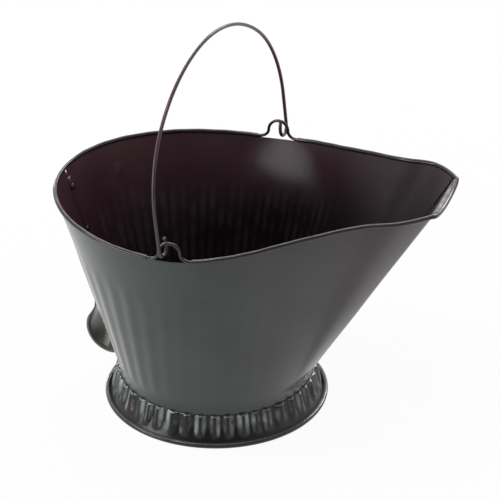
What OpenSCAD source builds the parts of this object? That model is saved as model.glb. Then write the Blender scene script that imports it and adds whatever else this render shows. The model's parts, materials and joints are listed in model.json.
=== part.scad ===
// Coal scuttle: a fluted, flared sheet-steel pail with a pouring spout, a wired rim, a pleated
// foot, a fixed tipping handle at the back and a swinging wire bail.
// Origin: centre of the foot on the floor. +X points to the spout, +Z up, Y across. Millimetres.

/* [Body] */
// Thickness of the sheet steel
sheet_t = 0.8; // [0.6:0.1:1.2]
// Outer radius of the round neck that stands in the foot
neck_r = 112.5; // [100:0.5:118]
// Height of the neck's lower edge
neck_base_z = 24; // [20:1:26]
// Height at which the neck turns into the flare
neck_top_z = 42; // [40:1:55]
// Number of flutes pressed into the flare, counted all round
flute_count = 40; // [32:4:48]
// Depth of the flutes
flute_depth = 1.5; // [0.5:0.1:2.5]
// Share of the flare's height that the flutes reach
flute_reach = 0.74; // [0.5:0.01:0.85]

/* [Rim] */
// Reach of the rim behind the foot's axis
rim_back = 183; // [165:1:195]
// Half width of the rim at its widest, beside the foot's axis
rim_side = 158; // [148:0.5:168]
// Height of the rim at its lowest, beside the ears
rim_z = 254.5; // [230:0.5:280]
// How much higher the rim is at the back
rim_back_rise = 5; // [0:0.5:12]
// Outer diameter of the rolled bead along the rim
bead_d = 5.2; // [4.8:0.1:6]
// Diameter of the wire inside the rim's bead
rim_wire_d = 3.6; // [3:0.1:3.8]

/* [Spout] */
// Reach of the spout's crease in front of the foot's axis
spout_reach = 264; // [235:1:285]
// Height of the spout's end above the rim's lowest point
spout_rise = 44; // [28:0.5:58]
// Half width of the rim at a quarter of the spout's reach
spout_w_quarter = 145.5; // [138:0.5:152]
// Half width of the rim at half of the spout's reach
spout_w_half = 113.5; // [104:0.5:124]
// Half width of the rim at three quarters of the spout's reach
spout_w_throat = 82.5; // [75:0.5:92]
// Half width of the rim at nine tenths of the spout's reach
spout_w_shoulder = 71.5; // [64:0.5:78]
// Half width of the rim at the spout's crease
spout_w_crease = 47.5; // [40:0.5:56]
// How far the lip's edge stands out in front of the crease
lip_reach = 3.5; // [2:0.5:10]
// How far the middle of the lip's edge droops below its corners
lip_droop = 5.5; // [0:0.5:8]

/* [Foot] */
// Outer radius of the foot's hem on the floor
foot_r = 130; // [126:0.5:140]
// Height of the skirt's upper edge on the neck
skirt_top_z = 34; // [30:0.5:38]
// Number of pleats in the skirt
pleat_count = 45; // [36:1:50]
// Depth of the pleats at their upper end
pleat_depth = 2.6; // [1:0.1:3.5]
// Height of the rolled hem
hem_h = 5.2; // [4.6:0.1:7]
// Diameter of the wire inside the hem
foot_wire_d = 3; // [2.4:0.1:3.4]
// Height of the pan's floor
pan_z = 29; // [26:0.5:32]

/* [Ears and bail] */
// Distance of the near ear (-Y side) in front of the foot's axis
near_ear_x = 3; // [0:0.5:12]
// Distance of the far ear (+Y side) in front of the foot's axis
far_ear_x = 23; // [14:0.5:28]
// Radius of an ear's arch, to the middle of the wire
ear_r = 12.4; // [11.5:0.1:14]
// Height of an ear's arch centre above the rim
ear_leg = 9.3; // [8:0.1:12]
// Diameter of the bail's wire
bail_wire_d = 4.2; // [3.6:0.1:4.6]
// Height of the bail's top above its pivot
bail_h = 185; // [176:1:198]
// Radius of the bail over its top
bail_top_r = 187; // [178:1:205]
// Radius of the bail's shoulders
bail_shoulder_r = 129; // [115:1:145]
// Backward lean of the standing bail, in degrees
bail_lean = 6; // [0:0.5:8]
// Inner width of the bail's hooks
hook_w = 12.8; // [9.2:0.2:14]
// Length of the hooks' turned-up ends
hook_tail = 8; // [6:0.5:14]

/* [Tipping handle] */
// Width of the handle's grip
grip_w = 46; // [36:1:54]
// Width of the handle's riveted ends
tab_w = 24; // [22:1:28]
// Thickness of the handle's strip
strap_t = 1.2; // [1:0.1:1.6]
// How far the grip stands out behind the strip's upright part
grip_out = 5; // [2:0.5:12]
// Diameter of the rivets' shanks
rivet_d = 4; // [3:0.5:4.5]

/* [Hidden] */
paint = [0.20, 0.21, 0.21];
paint_light = [0.30, 0.31, 0.31];
wire_black = [0.14, 0.13, 0.14];

// Angles are counted from the back (-X): 0 is the back, 180 the spout, positive towards +Y.
fit = 0.03;                // gap between pieces that sit against each other
bead_r = bead_d / 2;
wire_r = rim_wire_d / 2;
bail_r = bail_wire_d / 2;
sweep_angle = 6;           // how far the flutes lean towards the spout, at the sides
crease_drop = 3.2;         // sheet below the bead, up to the spout's crease
bead_overlap = 0.3;        // how deep the sheet's edge runs into its own roll

function unit(v) = v / norm(v);
function mix(a, b, t) = a + (b - a) * t;
function smooth(t) = let (c = min(1, max(0, t))) c * c * (3 - 2 * c);
function sgn(v) = v < 0 ? -1 : 1;

// ---- the rim in plan and in height ----
spout_x = [0, 0.25, 0.5, 0.75, 0.9, 1] * spout_reach;
spout_w = [rim_side, spout_w_quarter, spout_w_half, spout_w_throat, spout_w_shoulder, spout_w_crease];
last = len(spout_x) - 1;
function chord(i) = (spout_w[i + 1] - spout_w[i]) / (spout_x[i + 1] - spout_x[i]);
function slope(i) = i == 0 ? 0
    : i == last ? 1.4 * chord(last - 1) - 0.4 * chord(last - 2)
    : (chord(i - 1) * (spout_x[i + 1] - spout_x[i]) + chord(i) * (spout_x[i] - spout_x[i - 1]))
      / (spout_x[i + 1] - spout_x[i - 1]);
// Smooth curve through the spout's stations
function spout_curve(x, i) = let (h = spout_x[i + 1] - spout_x[i], t = (x - spout_x[i]) / h)
    spout_w[i] * (1 + 2 * t) * pow(1 - t, 2) + slope(i) * h * t * pow(1 - t, 2)
    + spout_w[i + 1] * t * t * (3 - 2 * t) - slope(i + 1) * h * t * t * (1 - t);
function station(x, i = 0) = i == last - 1 || x <= spout_x[i + 1] ? i : station(x, i + 1);
function half_width(x) = x < 0 ? rim_side * sqrt(max(0, 1 - pow(x / rim_back, 2)))
                               : spout_curve(min(x, spout_reach), station(x));
rise_start = -16;          // where the rim starts to climb to the spout
function rim_height(x) = rim_z + spout_rise * smooth((x - rise_start) / (spout_reach - rise_start))
    + rim_back_rise * pow(max(0, -x / rim_back), 2);

crease_angle = atan(spout_w_crease / spout_reach);
// Where the plan line at angle q from the spout's axis meets the rim
function meet(q, lo, hi, n = 22) = n == 0 ? (lo + hi) / 2
    : let (m = (lo + hi) / 2) half_width(m) > m * tan(q) ? meet(q, m, hi, n - 1) : meet(q, lo, m, n - 1);
// Point of the bare rim line at plan angle p, straight across the spout's crease
function rim_point(p) = let (b = abs(p), s = sgn(p), q = 180 - b)
    b <= 90 ? let (r = 1 / sqrt(pow(cos(b) / rim_back, 2) + pow(sin(b) / rim_side, 2)))
              [-r * cos(b), s * r * sin(b), rim_height(-r * cos(b))]
    : q >= crease_angle ? let (x = meet(q, 0, spout_reach)) [x, s * half_width(x), rim_height(x)]
    : [spout_reach, s * spout_w_crease * sin(90 * q / crease_angle), rim_height(spout_reach)];
// Middle of the bead: the rim line, and across the spout the lip's turned-out edge
function edge_point(p) = let (r = rim_point(p), q = 180 - abs(p))
    q >= crease_angle ? r
    : let (s = sin(90 * q / crease_angle))
      r + [lip_reach * pow(1 - pow(s, 6), 0.4), 0, -lip_droop * (1 - s * s)];

function wrap(p) = p > 180 ? p - 360 : p < -180 ? p + 360 : p;
tangent_step = 0.3;        // half the plan angle over which the edge's direction is taken
function edge_tangent(p) = unit(edge_point(wrap(p + tangent_step)) - edge_point(wrap(p - tangent_step)));

// ---- the body sheet: a grid of columns round the axis and rows up the wall ----
flute_step = 360 / flute_count / 4;
front_from = 148.5;        // from here to the spout the wall is plain
side_cols = round(2 * front_from / flute_step);
// Plan angle of a column at the rim, where a is its plan angle on the neck
function lean_to_spout(a) = a + sweep_angle * sin(a);
spout_from = lean_to_spout(front_from);
lip_from = 180 - crease_angle;
throat_cols = 8;
lip_cols = 14;
spout_stations = concat([for (i = [1:throat_cols]) mix(spout_from, lip_from, i / throat_cols)],
    [for (i = [1:lip_cols]) mix(lip_from, 360 - lip_from, i / lip_cols)],
    [for (i = [1:throat_cols - 1]) mix(360 - lip_from, 360 - spout_from, i / throat_cols)]);
// Each column: [plan angle on the neck, plan angle at the rim]
cols = concat([for (i = [0:side_cols]) let (a = mix(-front_from, front_from, i / side_cols)) [a, lean_to_spout(a)]],
    [for (p = spout_stations) [180 - (180 - p) * (180 - front_from) / (180 - spout_from), p]]);
land_angle = 9;            // plain land at the back for the seam and the handle
function flute(a) = let (b = a > 180 ? 360 - a : abs(a))
    flute_depth * (0.5 + 0.5 * cos(flute_count * a)) * smooth((b - land_angle) / 4)
    * smooth((front_from - b) / 30);
// Direction from the edge's point at rim angle p to its neighbour on the side d
function edge_chord(p, d) = unit(edge_point(wrap(p + d * 2 * crease_angle / lip_cols)) - edge_point(p));
function neck_point(a, z) = [-neck_r * cos(a), neck_r * sin(a), z];

// Rows: [share of the way up the flare, share of the flutes' depth]
wall_rows = [[0, 0], [0.06, 1], [flute_reach - 0.05, 1], [flute_reach + 0.02, 0]];
function column(a, p) = let (foot = neck_point(a, neck_top_z), r = rim_point(p),
                          crease = r - crease_drop * unit(r - foot), edge = edge_point(p),
                          up = unit(edge - crease), skew = max([for (d = [-1, 1]) abs(up * edge_chord(p, d))]),
                          roll = edge - (bead_r - bead_overlap) / sqrt(1 - skew * skew) * up)
    concat([neck_point(a, neck_base_z)], [for (w = wall_rows) mix(foot, crease, w[0])], [crease, roll]);
grid = [for (c = cols) column(c[0], wrap(c[1]))];
n_cols = len(cols);
n_rows = len(grid[0]);
depth = concat([0], [for (w = wall_rows) w[1]], [0, 0]);
function wall_normal(k, j) = let (
    side = grid[(k + 1) % n_cols][j] - grid[(k + n_cols - 1) % n_cols][j],
    up = grid[k][min(n_rows - 1, j + 1)] - grid[k][max(0, j - 1)])
    unit(cross(up, side));
normals = [for (k = [0:n_cols - 1]) [for (j = [0:n_rows - 1])
    j == 0 ? [-cos(cols[k][0]), sin(cols[k][0]), 0] : wall_normal(k, j)]];
function outside(k, j) = grid[k][j] + normals[k][j] * (depth[j] * flute(cols[k][0]));
function inside(k, j) = outside(k, j) - normals[k][j] * sheet_t;

// Closed skin over a ring of profiles; each profile is itself a closed loop of m points
module ring_skin(profiles) {
    n = len(profiles);
    m = len(profiles[0]);
    points = [for (p = profiles) each p];
    faces = [for (k = [0:n - 1]) for (j = [0:m - 1])
        let (a = k * m + j, b = k * m + (j + 1) % m, c = ((k + 1) % n) * m + (j + 1) % m, d = ((k + 1) % n) * m + j)
        each [[a, b, c], [a, c, d]]];
    polyhedron(points = points, faces = faces);
}

// Faces along an open run of n profiles of m points; first is the index of the run's first point
function run_faces(n, m, first = 0) = [for (k = [0:n - 2]) for (j = [0:m - 1])
    let (a = first + k * m + j, b = first + k * m + (j + 1) % m) each [[a, b, b + m], [a, b + m, a + m]]];
function reversed(list) = [for (i = [len(list) - 1:-1:0]) list[i]];

// Closed skin along an open run of profiles, with flat ends
module run_skin(profiles) {
    n = len(profiles);
    m = len(profiles[0]);
    polyhedron(points = [for (p = profiles) each p], faces = concat(run_faces(n, m),
        [[for (j = [m - 1:-1:0]) j]], [[for (j = [0:m - 1]) (n - 1) * m + j]]));
}

// Hollow tube between an outer and an inner run of profiles, open at both ends
module tube_skin(outer, inner) {
    n = len(outer);
    m = len(outer[0]);
    end = (n - 1) * m;
    bore = n * m;
    rims = [for (j = [0:m - 1]) let (i = (j + 1) % m)
        each [[i, j, bore + j, bore + i], [end + j, end + i, bore + end + i, bore + end + j]]];
    polyhedron(points = [for (p = concat(outer, inner)) each p],
        faces = concat(run_faces(n, m), [for (f = run_faces(n, m, bore)) reversed(f)], rims));
}

// ---- the wall's straight line up the back, which the seam and the handle sit on ----
back_foot = [-neck_r, neck_top_z];
back_rim = [-rim_back, rim_height(-rim_back)];
back_tilt = atan((back_foot[0] - back_rim[0]) / (back_rim[1] - back_foot[1]));
function back_x(z) = back_foot[0] + (back_rim[0] - back_foot[0]) * (z - back_foot[1]) / (back_rim[1] - back_foot[1]);
// Puts its children on the outside of the back wall at height z: +X out of the wall, +Z up it
module on_back(z) {
    translate([back_x(z), 0, z]) rotate([0, -back_tilt, 0]) rotate([0, 0, 180]) children();
}

// ---- rivets ----
rivet_head_d = 1.8 * rivet_d;
rivet_head_h = 0.45 * rivet_d;
seam_space = 0.4;          // from a rivet's head to the seam, and to the edge of the handle's tab
tab_rivet_y = (tab_w - rivet_head_d) / 2 - seam_space;
// how far the round wall falls away from a flat piece, at a distance y from its middle
function wall_sag(y) = y * y / (2 * neck_r);
top_rivet_z = 166;
bottom_rivet_z = 58;
seam_rivet_z = [236, 184];
// A domed rivet along +X: its grip runs from -inner to +outer, a head on each end
module rivet(inner, outer) {
    rotate([0, 90, 0]) {
        translate([0, 0, -inner]) cylinder(d = rivet_d, h = inner + outer, $fn = 24);
        translate([0, 0, outer]) rivet_head();
        translate([0, 0, -inner]) mirror([0, 0, 1]) rivet_head();
    }
}
module rivet_head() {
    dome_r = (pow(rivet_head_d / 2, 2) + pow(rivet_head_h, 2)) / (2 * rivet_head_h);
    intersection() {
        translate([0, 0, rivet_head_h - dome_r]) sphere(r = dome_r, $fn = 64);
        cylinder(d = rivet_head_d, h = rivet_head_h, $fn = 32);
    }
}
module rivet_hole() {
    rotate([0, 90, 0]) cylinder(d = rivet_d + 2 * fit, h = 20, center = true, $fn = 24);
}

// ---- body sheet ----
seam_gap_w = 4;
seam_gap_h = 6;
module body_shell() {
    color(paint) difference() {
        ring_skin([for (k = [0:n_cols - 1])
            concat([for (j = [0:n_rows - 1]) inside(k, j)], [for (j = [n_rows - 1:-1:0]) outside(k, j)])]);
        // small open notch where the seam stops short of the bead
        on_back(back_rim[1] - bead_r) rotate([90, 0, 90]) linear_extrude(height = 8, center = true)
            polygon([[-seam_gap_w / 2, 0], [seam_gap_w / 2, 0], [0, -seam_gap_h]]);
        for (side = [-1, 1]) {
            on_back(top_rivet_z) translate([0, side * tab_rivet_y, 0]) rivet_hole();
            on_back(bottom_rivet_z) translate([0, side * tab_rivet_y, 0]) rivet_hole();
        }
        for (z = seam_rivet_z) on_back(z) rivet_hole();
        ear_notch(near_ear_x, -1);
        ear_notch(far_ear_x, 1);
    }
}

// ---- folded seam up the inside of the back ----
seam_w = 2 * tab_rivet_y - rivet_head_d - 2 * seam_space;
seam_t = 1.4;
seam_low_z = neck_top_z + 3;
seam_high_z = rim_z - 6.5;
seam_sag = wall_sag(seam_w / 2) + 2 * fit;
module back_seam() {
    length = (seam_high_z - seam_low_z) / cos(back_tilt);
    color(paint) difference() {
        on_back(seam_low_z) translate([-sheet_t - seam_sag - seam_t, -seam_w / 2, 0]) cube([seam_t, seam_w, length]);
        for (z = seam_rivet_z) on_back(z) rivet_hole();
    }
}

module seam_rivets() {
    color(paint_light) for (z = seam_rivet_z) on_back(z) rivet(sheet_t + seam_sag + seam_t + fit, fit);
}

// ---- wired rim ----
ear_foot = 12;             // how far an ear's foot runs out along the rim
notch_half = ear_r + ear_foot + 1.5;
tube_sides = 8;
function around(centre, t, ref, r) = let (u = unit(ref - (ref * t) * t), v = cross(u, t))
    [for (i = [0:tube_sides - 1]) let (w = 360 * i / tube_sides) centre + r * (cos(w) * u + sin(w) * v)];
// Plan angle of the rim point at distance x in front of the axis
function angle_at(x) = atan2(half_width(x), -x);
bead_step = 4.5;
// Stations between two plan angles
function stations(a, b, step) = let (n = ceil(abs(b - a) / step)) [for (i = [0:n]) a + (b - a) * i / n];
near_back = -angle_at(near_ear_x - notch_half);
near_front = -angle_at(near_ear_x + notch_half);
far_back = angle_at(far_ear_x - notch_half);
far_front = angle_at(far_ear_x + notch_half);
rear_run = stations(near_back, far_back, bead_step);
front_run = concat(stations(far_front, spout_from, bead_step), spout_stations,
    stations(360 - spout_from, 360 + near_front, bead_step));
function bead_out(p) = let (t = edge_tangent(p)) unit([t[1], -t[0], 0]);
function bead_ring(p, r) = around(edge_point(wrap(p)), edge_tangent(p), -bead_out(p), r);

module rolled(run) {
    tube_skin([for (p = run) bead_ring(p, bead_r)], [for (p = run) bead_ring(p, wire_r + fit)]);
}
module rim_bead() {
    color(paint_light) {
        rolled(rear_run);
        rolled(front_run);
    }
}

// An ear: the rim's wire leaves the bead, rises, arches over and goes back down
function ear_profile() = concat(
    [for (s = [0:0.25:0.99]) [-(ear_r + ear_foot) + ear_foot * sin(90 * s), ear_leg * (1 - cos(90 * s))]],
    [for (w = [180:-22.5:0]) [ear_r * cos(w), ear_leg + ear_r * sin(w)]],
    [for (s = [0.75:-0.25:0]) [ear_r + ear_foot - ear_foot * sin(90 * s), ear_leg * (1 - cos(90 * s))]]);
function ear_points(x, side) = [for (e = ear_profile())
    [x + e[0], side * half_width(x + e[0]), rim_height(x + e[0]) + e[1]]];
function open_tangent(pts, i) = unit(pts[min(len(pts) - 1, i + 1)] - pts[max(0, i - 1)]);
function ear_rings(pts, side) = [for (i = [0:len(pts) - 1])
    around(pts[i], open_tangent(pts, i), [0, side, 0], wire_r)];

module rim_wire() {
    color(wire_black) ring_skin(concat(
        [for (p = rear_run) bead_ring(p, wire_r)], ear_rings(ear_points(far_ear_x, 1), 1),
        [for (p = front_run) bead_ring(p, wire_r)], ear_rings(reversed(ear_points(near_ear_x, -1)), -1)));
}
// Window cut into the sheet's upper edge under an ear
notch_drop = 1.2;
module ear_notch(x, side) {
    translate([x, side * half_width(x), rim_height(x) - notch_drop])
        translate([-notch_half, -10, 0]) cube([2 * notch_half, 20, 12]);
}

// ---- foot ----
pan_corner = 2.5;          // radius over the pan's edge
pan_flange = 0.5;          // least height of the flange's straight part
module bottom_pan() {
    flange_r = neck_r - sheet_t - 2 * fit;
    corner = min(pan_corner, pan_z - neck_base_z - pan_flange);
    color(paint) rotate_extrude($fn = 180) {
        translate([0, pan_z - sheet_t]) square([flange_r - corner, sheet_t]);
        translate([flange_r - sheet_t, neck_base_z]) square([sheet_t, pan_z - neck_base_z - corner]);
        translate([flange_r - corner, pan_z - corner]) intersection() {
            difference() {
                circle(r = corner, $fn = 48);
                circle(r = corner - sheet_t, $fn = 48);
            }
            square(corner + 1);
        }
    }
}

hem_in = foot_r - 5.2;     // inner radius of the hem
pleat_cols = 4 * pleat_count;
// Rows of the skirt's outer face: [radius in a valley, height, share of the pleats' depth]
skirt_rows = [[neck_r + fit + sheet_t, skirt_top_z, 0.1],
              [neck_r + fit + sheet_t + 0.3, skirt_top_z - 1.6, 0.95],
              [mix(neck_r, foot_r, 0.40), 13, 0.8],
              [mix(neck_r, foot_r, 0.56), 7.5, 0.15],
              [hem_in - fit, hem_h - 1.2, 0]];
function skirt_out(k, j) = let (a = 360 * k / pleat_cols, row = skirt_rows[j],
                                r = row[0] + pleat_depth * row[2] * (0.5 + 0.5 * cos(pleat_count * a)))
    [r * cos(a), -r * sin(a), row[1]];
// inner face: a wall's thickness inside the outer one, level at the top and the hem
inner_shift = [[-sheet_t, 0], [-sheet_t, -0.2], [-sheet_t, -0.3], [-0.6, -0.6], [0, -sheet_t]];
function skirt_in(k, j) = let (p = skirt_out(k, j), r = norm([p[0], p[1]]), s = inner_shift[j])
    [p[0] * (r + s[0]) / r, p[1] * (r + s[0]) / r, p[2] + s[1]];
module foot_skirt() {
    rows = len(skirt_rows);
    color(paint_light) ring_skin([for (k = [0:pleat_cols - 1])
        concat([for (j = [0:rows - 1]) skirt_out(k, j)], [for (j = [rows - 1:-1:0]) skirt_in(k, j)])]);
}

hem_w = foot_r - hem_in;
hem_corner = 1.8;
hem_slit = 0.3;
hem_facets = 12;           // straight lengths in the hem's round edges and in its hollow
module foot_hem() {
    hollow_r = (foot_wire_d / 2 + fit) / cos(180 / hem_facets);
    color(wire_black) rotate_extrude($fn = 180) difference() {
        translate([hem_in, 0]) {
            translate([hem_corner, 0]) square([hem_w - 2 * hem_corner, hem_h]);
            translate([0, hem_corner]) square([hem_w, hem_h - 2 * hem_corner]);
            for (x = [hem_corner, hem_w - hem_corner]) for (z = [hem_corner, hem_h - hem_corner])
                translate([x, z]) circle(r = hem_corner, $fn = hem_facets);
        }
        translate([hem_in + hem_w / 2, hem_h / 2]) circle(r = hollow_r, $fn = hem_facets);
        // the slit where the rolled sheet's edge ends, on the inner side
        translate([hem_in - 1, (hem_h - hem_slit) / 2]) square([hem_w / 2, hem_slit]);
    }
}
module foot_wire() {
    color(wire_black) rotate_extrude($fn = 180) translate([hem_in + hem_w / 2, hem_h / 2])
        circle(d = foot_wire_d, $fn = 32);
}

// ---- tipping handle ----
// Side outline of the strip's middle line, from the upper tab down to the lower one
strap_off = strap_t / 2 + fit;
function on_wall(z) = [back_x(z) - strap_off / cos(back_tilt), z];
upper_tab_z = 176;
leave_z = 140;             // where the strip leaves the wall and hangs plumb
shoulder_z = 87;
lower_tab_z = 68;
strap_plumb_x = on_wall(leave_z)[0];
grip_mid = strap_plumb_x - grip_out;
strap_low_z = 40;
turn_in = 8;               // where the strip comes in from the grip, in front of the neck's outside
arc_end = 264;             // direction in which the grip's arc ends
arc_room = 3;              // least straight run before and after the grip's arc
bulge_drop = 10;           // from the shoulder down to where the strip is nearly out at the grip
// radius of the grip's round underside, which ends before the strip's turn and below the shoulder
grip_arc = min(shoulder_z - bulge_drop - arc_room - strap_low_z,
               (back_x(neck_top_z) - turn_in - arc_room - grip_mid) / (1 + cos(arc_end)));
grip_centre_z = strap_low_z + grip_arc;
strap_line = concat(
    [on_wall(upper_tab_z), on_wall(leave_z + 6), [strap_plumb_x - 0.2, leave_z - 4], [strap_plumb_x - 0.6, shoulder_z + 3]],
    [[mix(strap_plumb_x, grip_mid, 0.35), shoulder_z - 3], [mix(strap_plumb_x, grip_mid, 0.8), shoulder_z - bulge_drop]],
    [for (w = [180:12:arc_end]) [grip_mid + grip_arc * (1 + cos(w)), grip_centre_z + grip_arc * sin(w)]],
    [[back_x(neck_top_z) - turn_in, strap_low_z + 0.4], [back_x(neck_top_z) - 3.5, strap_low_z + 1.6],
     on_wall(strap_low_z + 7), on_wall(lower_tab_z)]);
function line_normal(pts, i) = let (t = unit(pts[min(len(pts) - 1, i + 1)] - pts[max(0, i - 1)])) [t[1], -t[0]];
module strip_section(t) {
    n = len(strap_line);
    polygon(concat([for (i = [0:n - 1]) strap_line[i] + line_normal(strap_line, i) * t / 2],
                   [for (i = [n - 1:-1:0]) strap_line[i] - line_normal(strap_line, i) * t / 2]));
}
module strip(width, t) {
    rotate([90, 0, 0]) linear_extrude(height = width, center = true) strip_section(t);
}
curl_d = 3;                // thickness of the grip's curled edges
module rear_handle() {
    color(paint) difference() {
        union() {
            intersection() {
                strip(grip_w, strap_t);
                // outline seen from behind: narrow tabs, wide grip, round shoulders
                rotate([0, -90, 0]) linear_extrude(height = 400, center = true) handle_outline(grip_w);
            }
            for (side = [-1, 1]) intersection() {
                translate([0, side * (grip_w - curl_d) / 2, 0]) strip(curl_d, curl_d);
                translate([-300, -grip_w, grip_low_z]) cube([300, 2 * grip_w, grip_high_z - grip_low_z]);
            }
        }
        for (side = [-1, 1]) {
            on_back(top_rivet_z) translate([0, side * tab_rivet_y, 0]) rivet_hole();
            on_back(bottom_rivet_z) translate([0, side * tab_rivet_y, 0]) rivet_hole();
        }
    }
}
grip_low_z = strap_low_z + 4;
grip_high_z = shoulder_z - 4;
module handle_outline(w) {
    hull() {
        translate([grip_low_z, 0]) square([1, w], center = true);
        translate([grip_high_z - 6, 0]) square([1, w], center = true);
        translate([grip_high_z + 2, 0]) square([1, tab_w], center = true);
    }
    translate([strap_low_z - 8, -tab_w / 2]) square([upper_tab_z - strap_low_z + 20, tab_w]);
}
module tab_rivets(z) {
    color(paint_light) for (side = [-1, 1]) on_back(z) translate([0, side * tab_rivet_y, 0])
        rivet(sheet_t + wall_sag(tab_rivet_y + rivet_head_d / 2) + fit, strap_t + 2 * fit);
}
module handle_top_rivets() {
    tab_rivets(top_rivet_z);
}
module handle_bottom_rivets() {
    tab_rivets(bottom_rivet_z);
}

// ---- bail ----
near_pivot = [near_ear_x, -half_width(near_ear_x), rim_height(near_ear_x) + ear_leg];
far_pivot = [far_ear_x, half_width(far_ear_x), rim_height(far_ear_x) + ear_leg];
pivot_mid = (near_pivot + far_pivot) / 2;
pivot_skew = atan((far_ear_x - near_ear_x) / (far_pivot[1] - near_pivot[1]));
hook_half = hook_w / 2 + bail_r;              // half the distance between a hook's two strands
hook_s = (far_pivot[1] - near_pivot[1]) / 2;  // ears' distance from the middle
hook_run = ear_r - wire_r - bail_r - 0.6;     // how far the hook's bend sits from the pivot
hook_angle = 30;
hook_v = hook_run * cos(hook_angle);
hook_u = -hook_run * sin(hook_angle) + hook_half;
leg_s = hook_s + hook_half;
// tangent arcs: shoulders of bail_shoulder_r, top of bail_top_r
shoulder_s = leg_s - bail_shoulder_r;
shoulder_u = bail_h - bail_top_r + sqrt(pow(bail_top_r - bail_shoulder_r, 2) - pow(shoulder_s, 2));
top_u = bail_h - bail_top_r;
shoulder_turn = atan2(shoulder_u - top_u, shoulder_s);
function arc(centre, r, a, b, n) = [for (i = [0:n]) let (w = mix(a, b, i / n)) centre + r * [cos(w), sin(w)]];
// Half of the bail's middle line in its own plane, from a hook's turned-up end to the top
half_line = concat([[hook_s - hook_half, hook_u + hook_tail]], arc([hook_s, hook_u], hook_half, 180, 360, 9),
    arc([shoulder_s, shoulder_u], bail_shoulder_r, 0, shoulder_turn, 14),
    [for (i = [1:9]) [0, top_u] + bail_top_r * [cos(mix(shoulder_turn, 90, i / 9)), sin(mix(shoulder_turn, 90, i / 9))]]);
bail_line = concat(half_line, [for (i = [len(half_line) - 2:-1:0]) [-half_line[i][0], half_line[i][1]]]);
bail_sides = 10;
// Ring of the wire at a point of the plane x = 0
function wire_ring(p, t, r) = [for (i = [0:bail_sides - 1]) let (w = 360 * i / bail_sides)
    [r * cos(w), p[0] - r * sin(w) * t[1], p[1] + r * sin(w) * t[0]]];
wire_end = [0.7, 0.6];     // a wire's rounded end: how far out and how wide, as shares of its radius
module bail() {
    n = len(bail_line);
    out = [0, 1] * bail_r * wire_end[0];
    color(wire_black) translate(pivot_mid) rotate([0, 0, -pivot_skew]) rotate([0, -bail_lean, 0])
        rotate([0, 0, -atan(hook_v / hook_s)])
            run_skin(concat([wire_ring(bail_line[0] + out, [0, -1], bail_r * wire_end[1])],
                [for (i = [0:n - 1]) wire_ring(bail_line[i], open_tangent(bail_line, i), bail_r)],
                [wire_ring(bail_line[n - 1] + out, [0, 1], bail_r * wire_end[1])]));
}

body_shell();
back_seam();
seam_rivets();
rim_bead();
rim_wire();
bottom_pan();
foot_skirt();
foot_hem();
foot_wire();
rear_handle();
handle_top_rivets();
handle_bottom_rivets();
bail();
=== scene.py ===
"""Coal scuttle in black lacquered sheet steel: the looks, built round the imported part.

Lengths in the classes are millimetres, as a tinsmith would write them, and become metres where a
mesh is made. The frame is the part's own: the foot's centre on the floor is the origin, +X points
to the spout, +Z up. Plan angles are in degrees from the back (-X), positive towards +Y.
"""
import json
import logging
import math
from dataclasses import dataclass
from enum import Enum
from typing import Any, Sequence

import bmesh
import bpy
import numpy as np
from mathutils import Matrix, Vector

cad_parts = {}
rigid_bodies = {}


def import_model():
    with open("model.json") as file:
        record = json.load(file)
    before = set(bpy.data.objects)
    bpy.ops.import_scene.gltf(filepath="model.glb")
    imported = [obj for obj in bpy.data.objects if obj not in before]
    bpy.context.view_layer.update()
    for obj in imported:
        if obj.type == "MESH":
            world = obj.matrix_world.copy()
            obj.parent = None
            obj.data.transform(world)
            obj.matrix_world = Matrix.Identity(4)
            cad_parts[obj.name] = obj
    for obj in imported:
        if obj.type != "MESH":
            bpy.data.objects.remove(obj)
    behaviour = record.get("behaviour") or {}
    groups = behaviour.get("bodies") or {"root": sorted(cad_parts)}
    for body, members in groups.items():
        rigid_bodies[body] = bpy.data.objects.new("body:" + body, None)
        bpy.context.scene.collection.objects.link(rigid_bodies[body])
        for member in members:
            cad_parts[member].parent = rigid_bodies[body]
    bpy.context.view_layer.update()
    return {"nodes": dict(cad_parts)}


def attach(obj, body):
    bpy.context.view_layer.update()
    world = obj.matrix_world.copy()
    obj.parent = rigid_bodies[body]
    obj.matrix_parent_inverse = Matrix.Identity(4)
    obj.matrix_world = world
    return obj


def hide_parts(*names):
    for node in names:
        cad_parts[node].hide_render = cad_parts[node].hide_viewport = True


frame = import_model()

MM = 0.001
SEED = 17
log = logging.getLogger("scuttle")

Array = np.ndarray
Piece = bpy.types.Object
Finish = bpy.types.Material
Pair = tuple[float, float]
Triple = tuple[float, float, float]


# ---------------------------------------------------------------- node building


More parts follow.
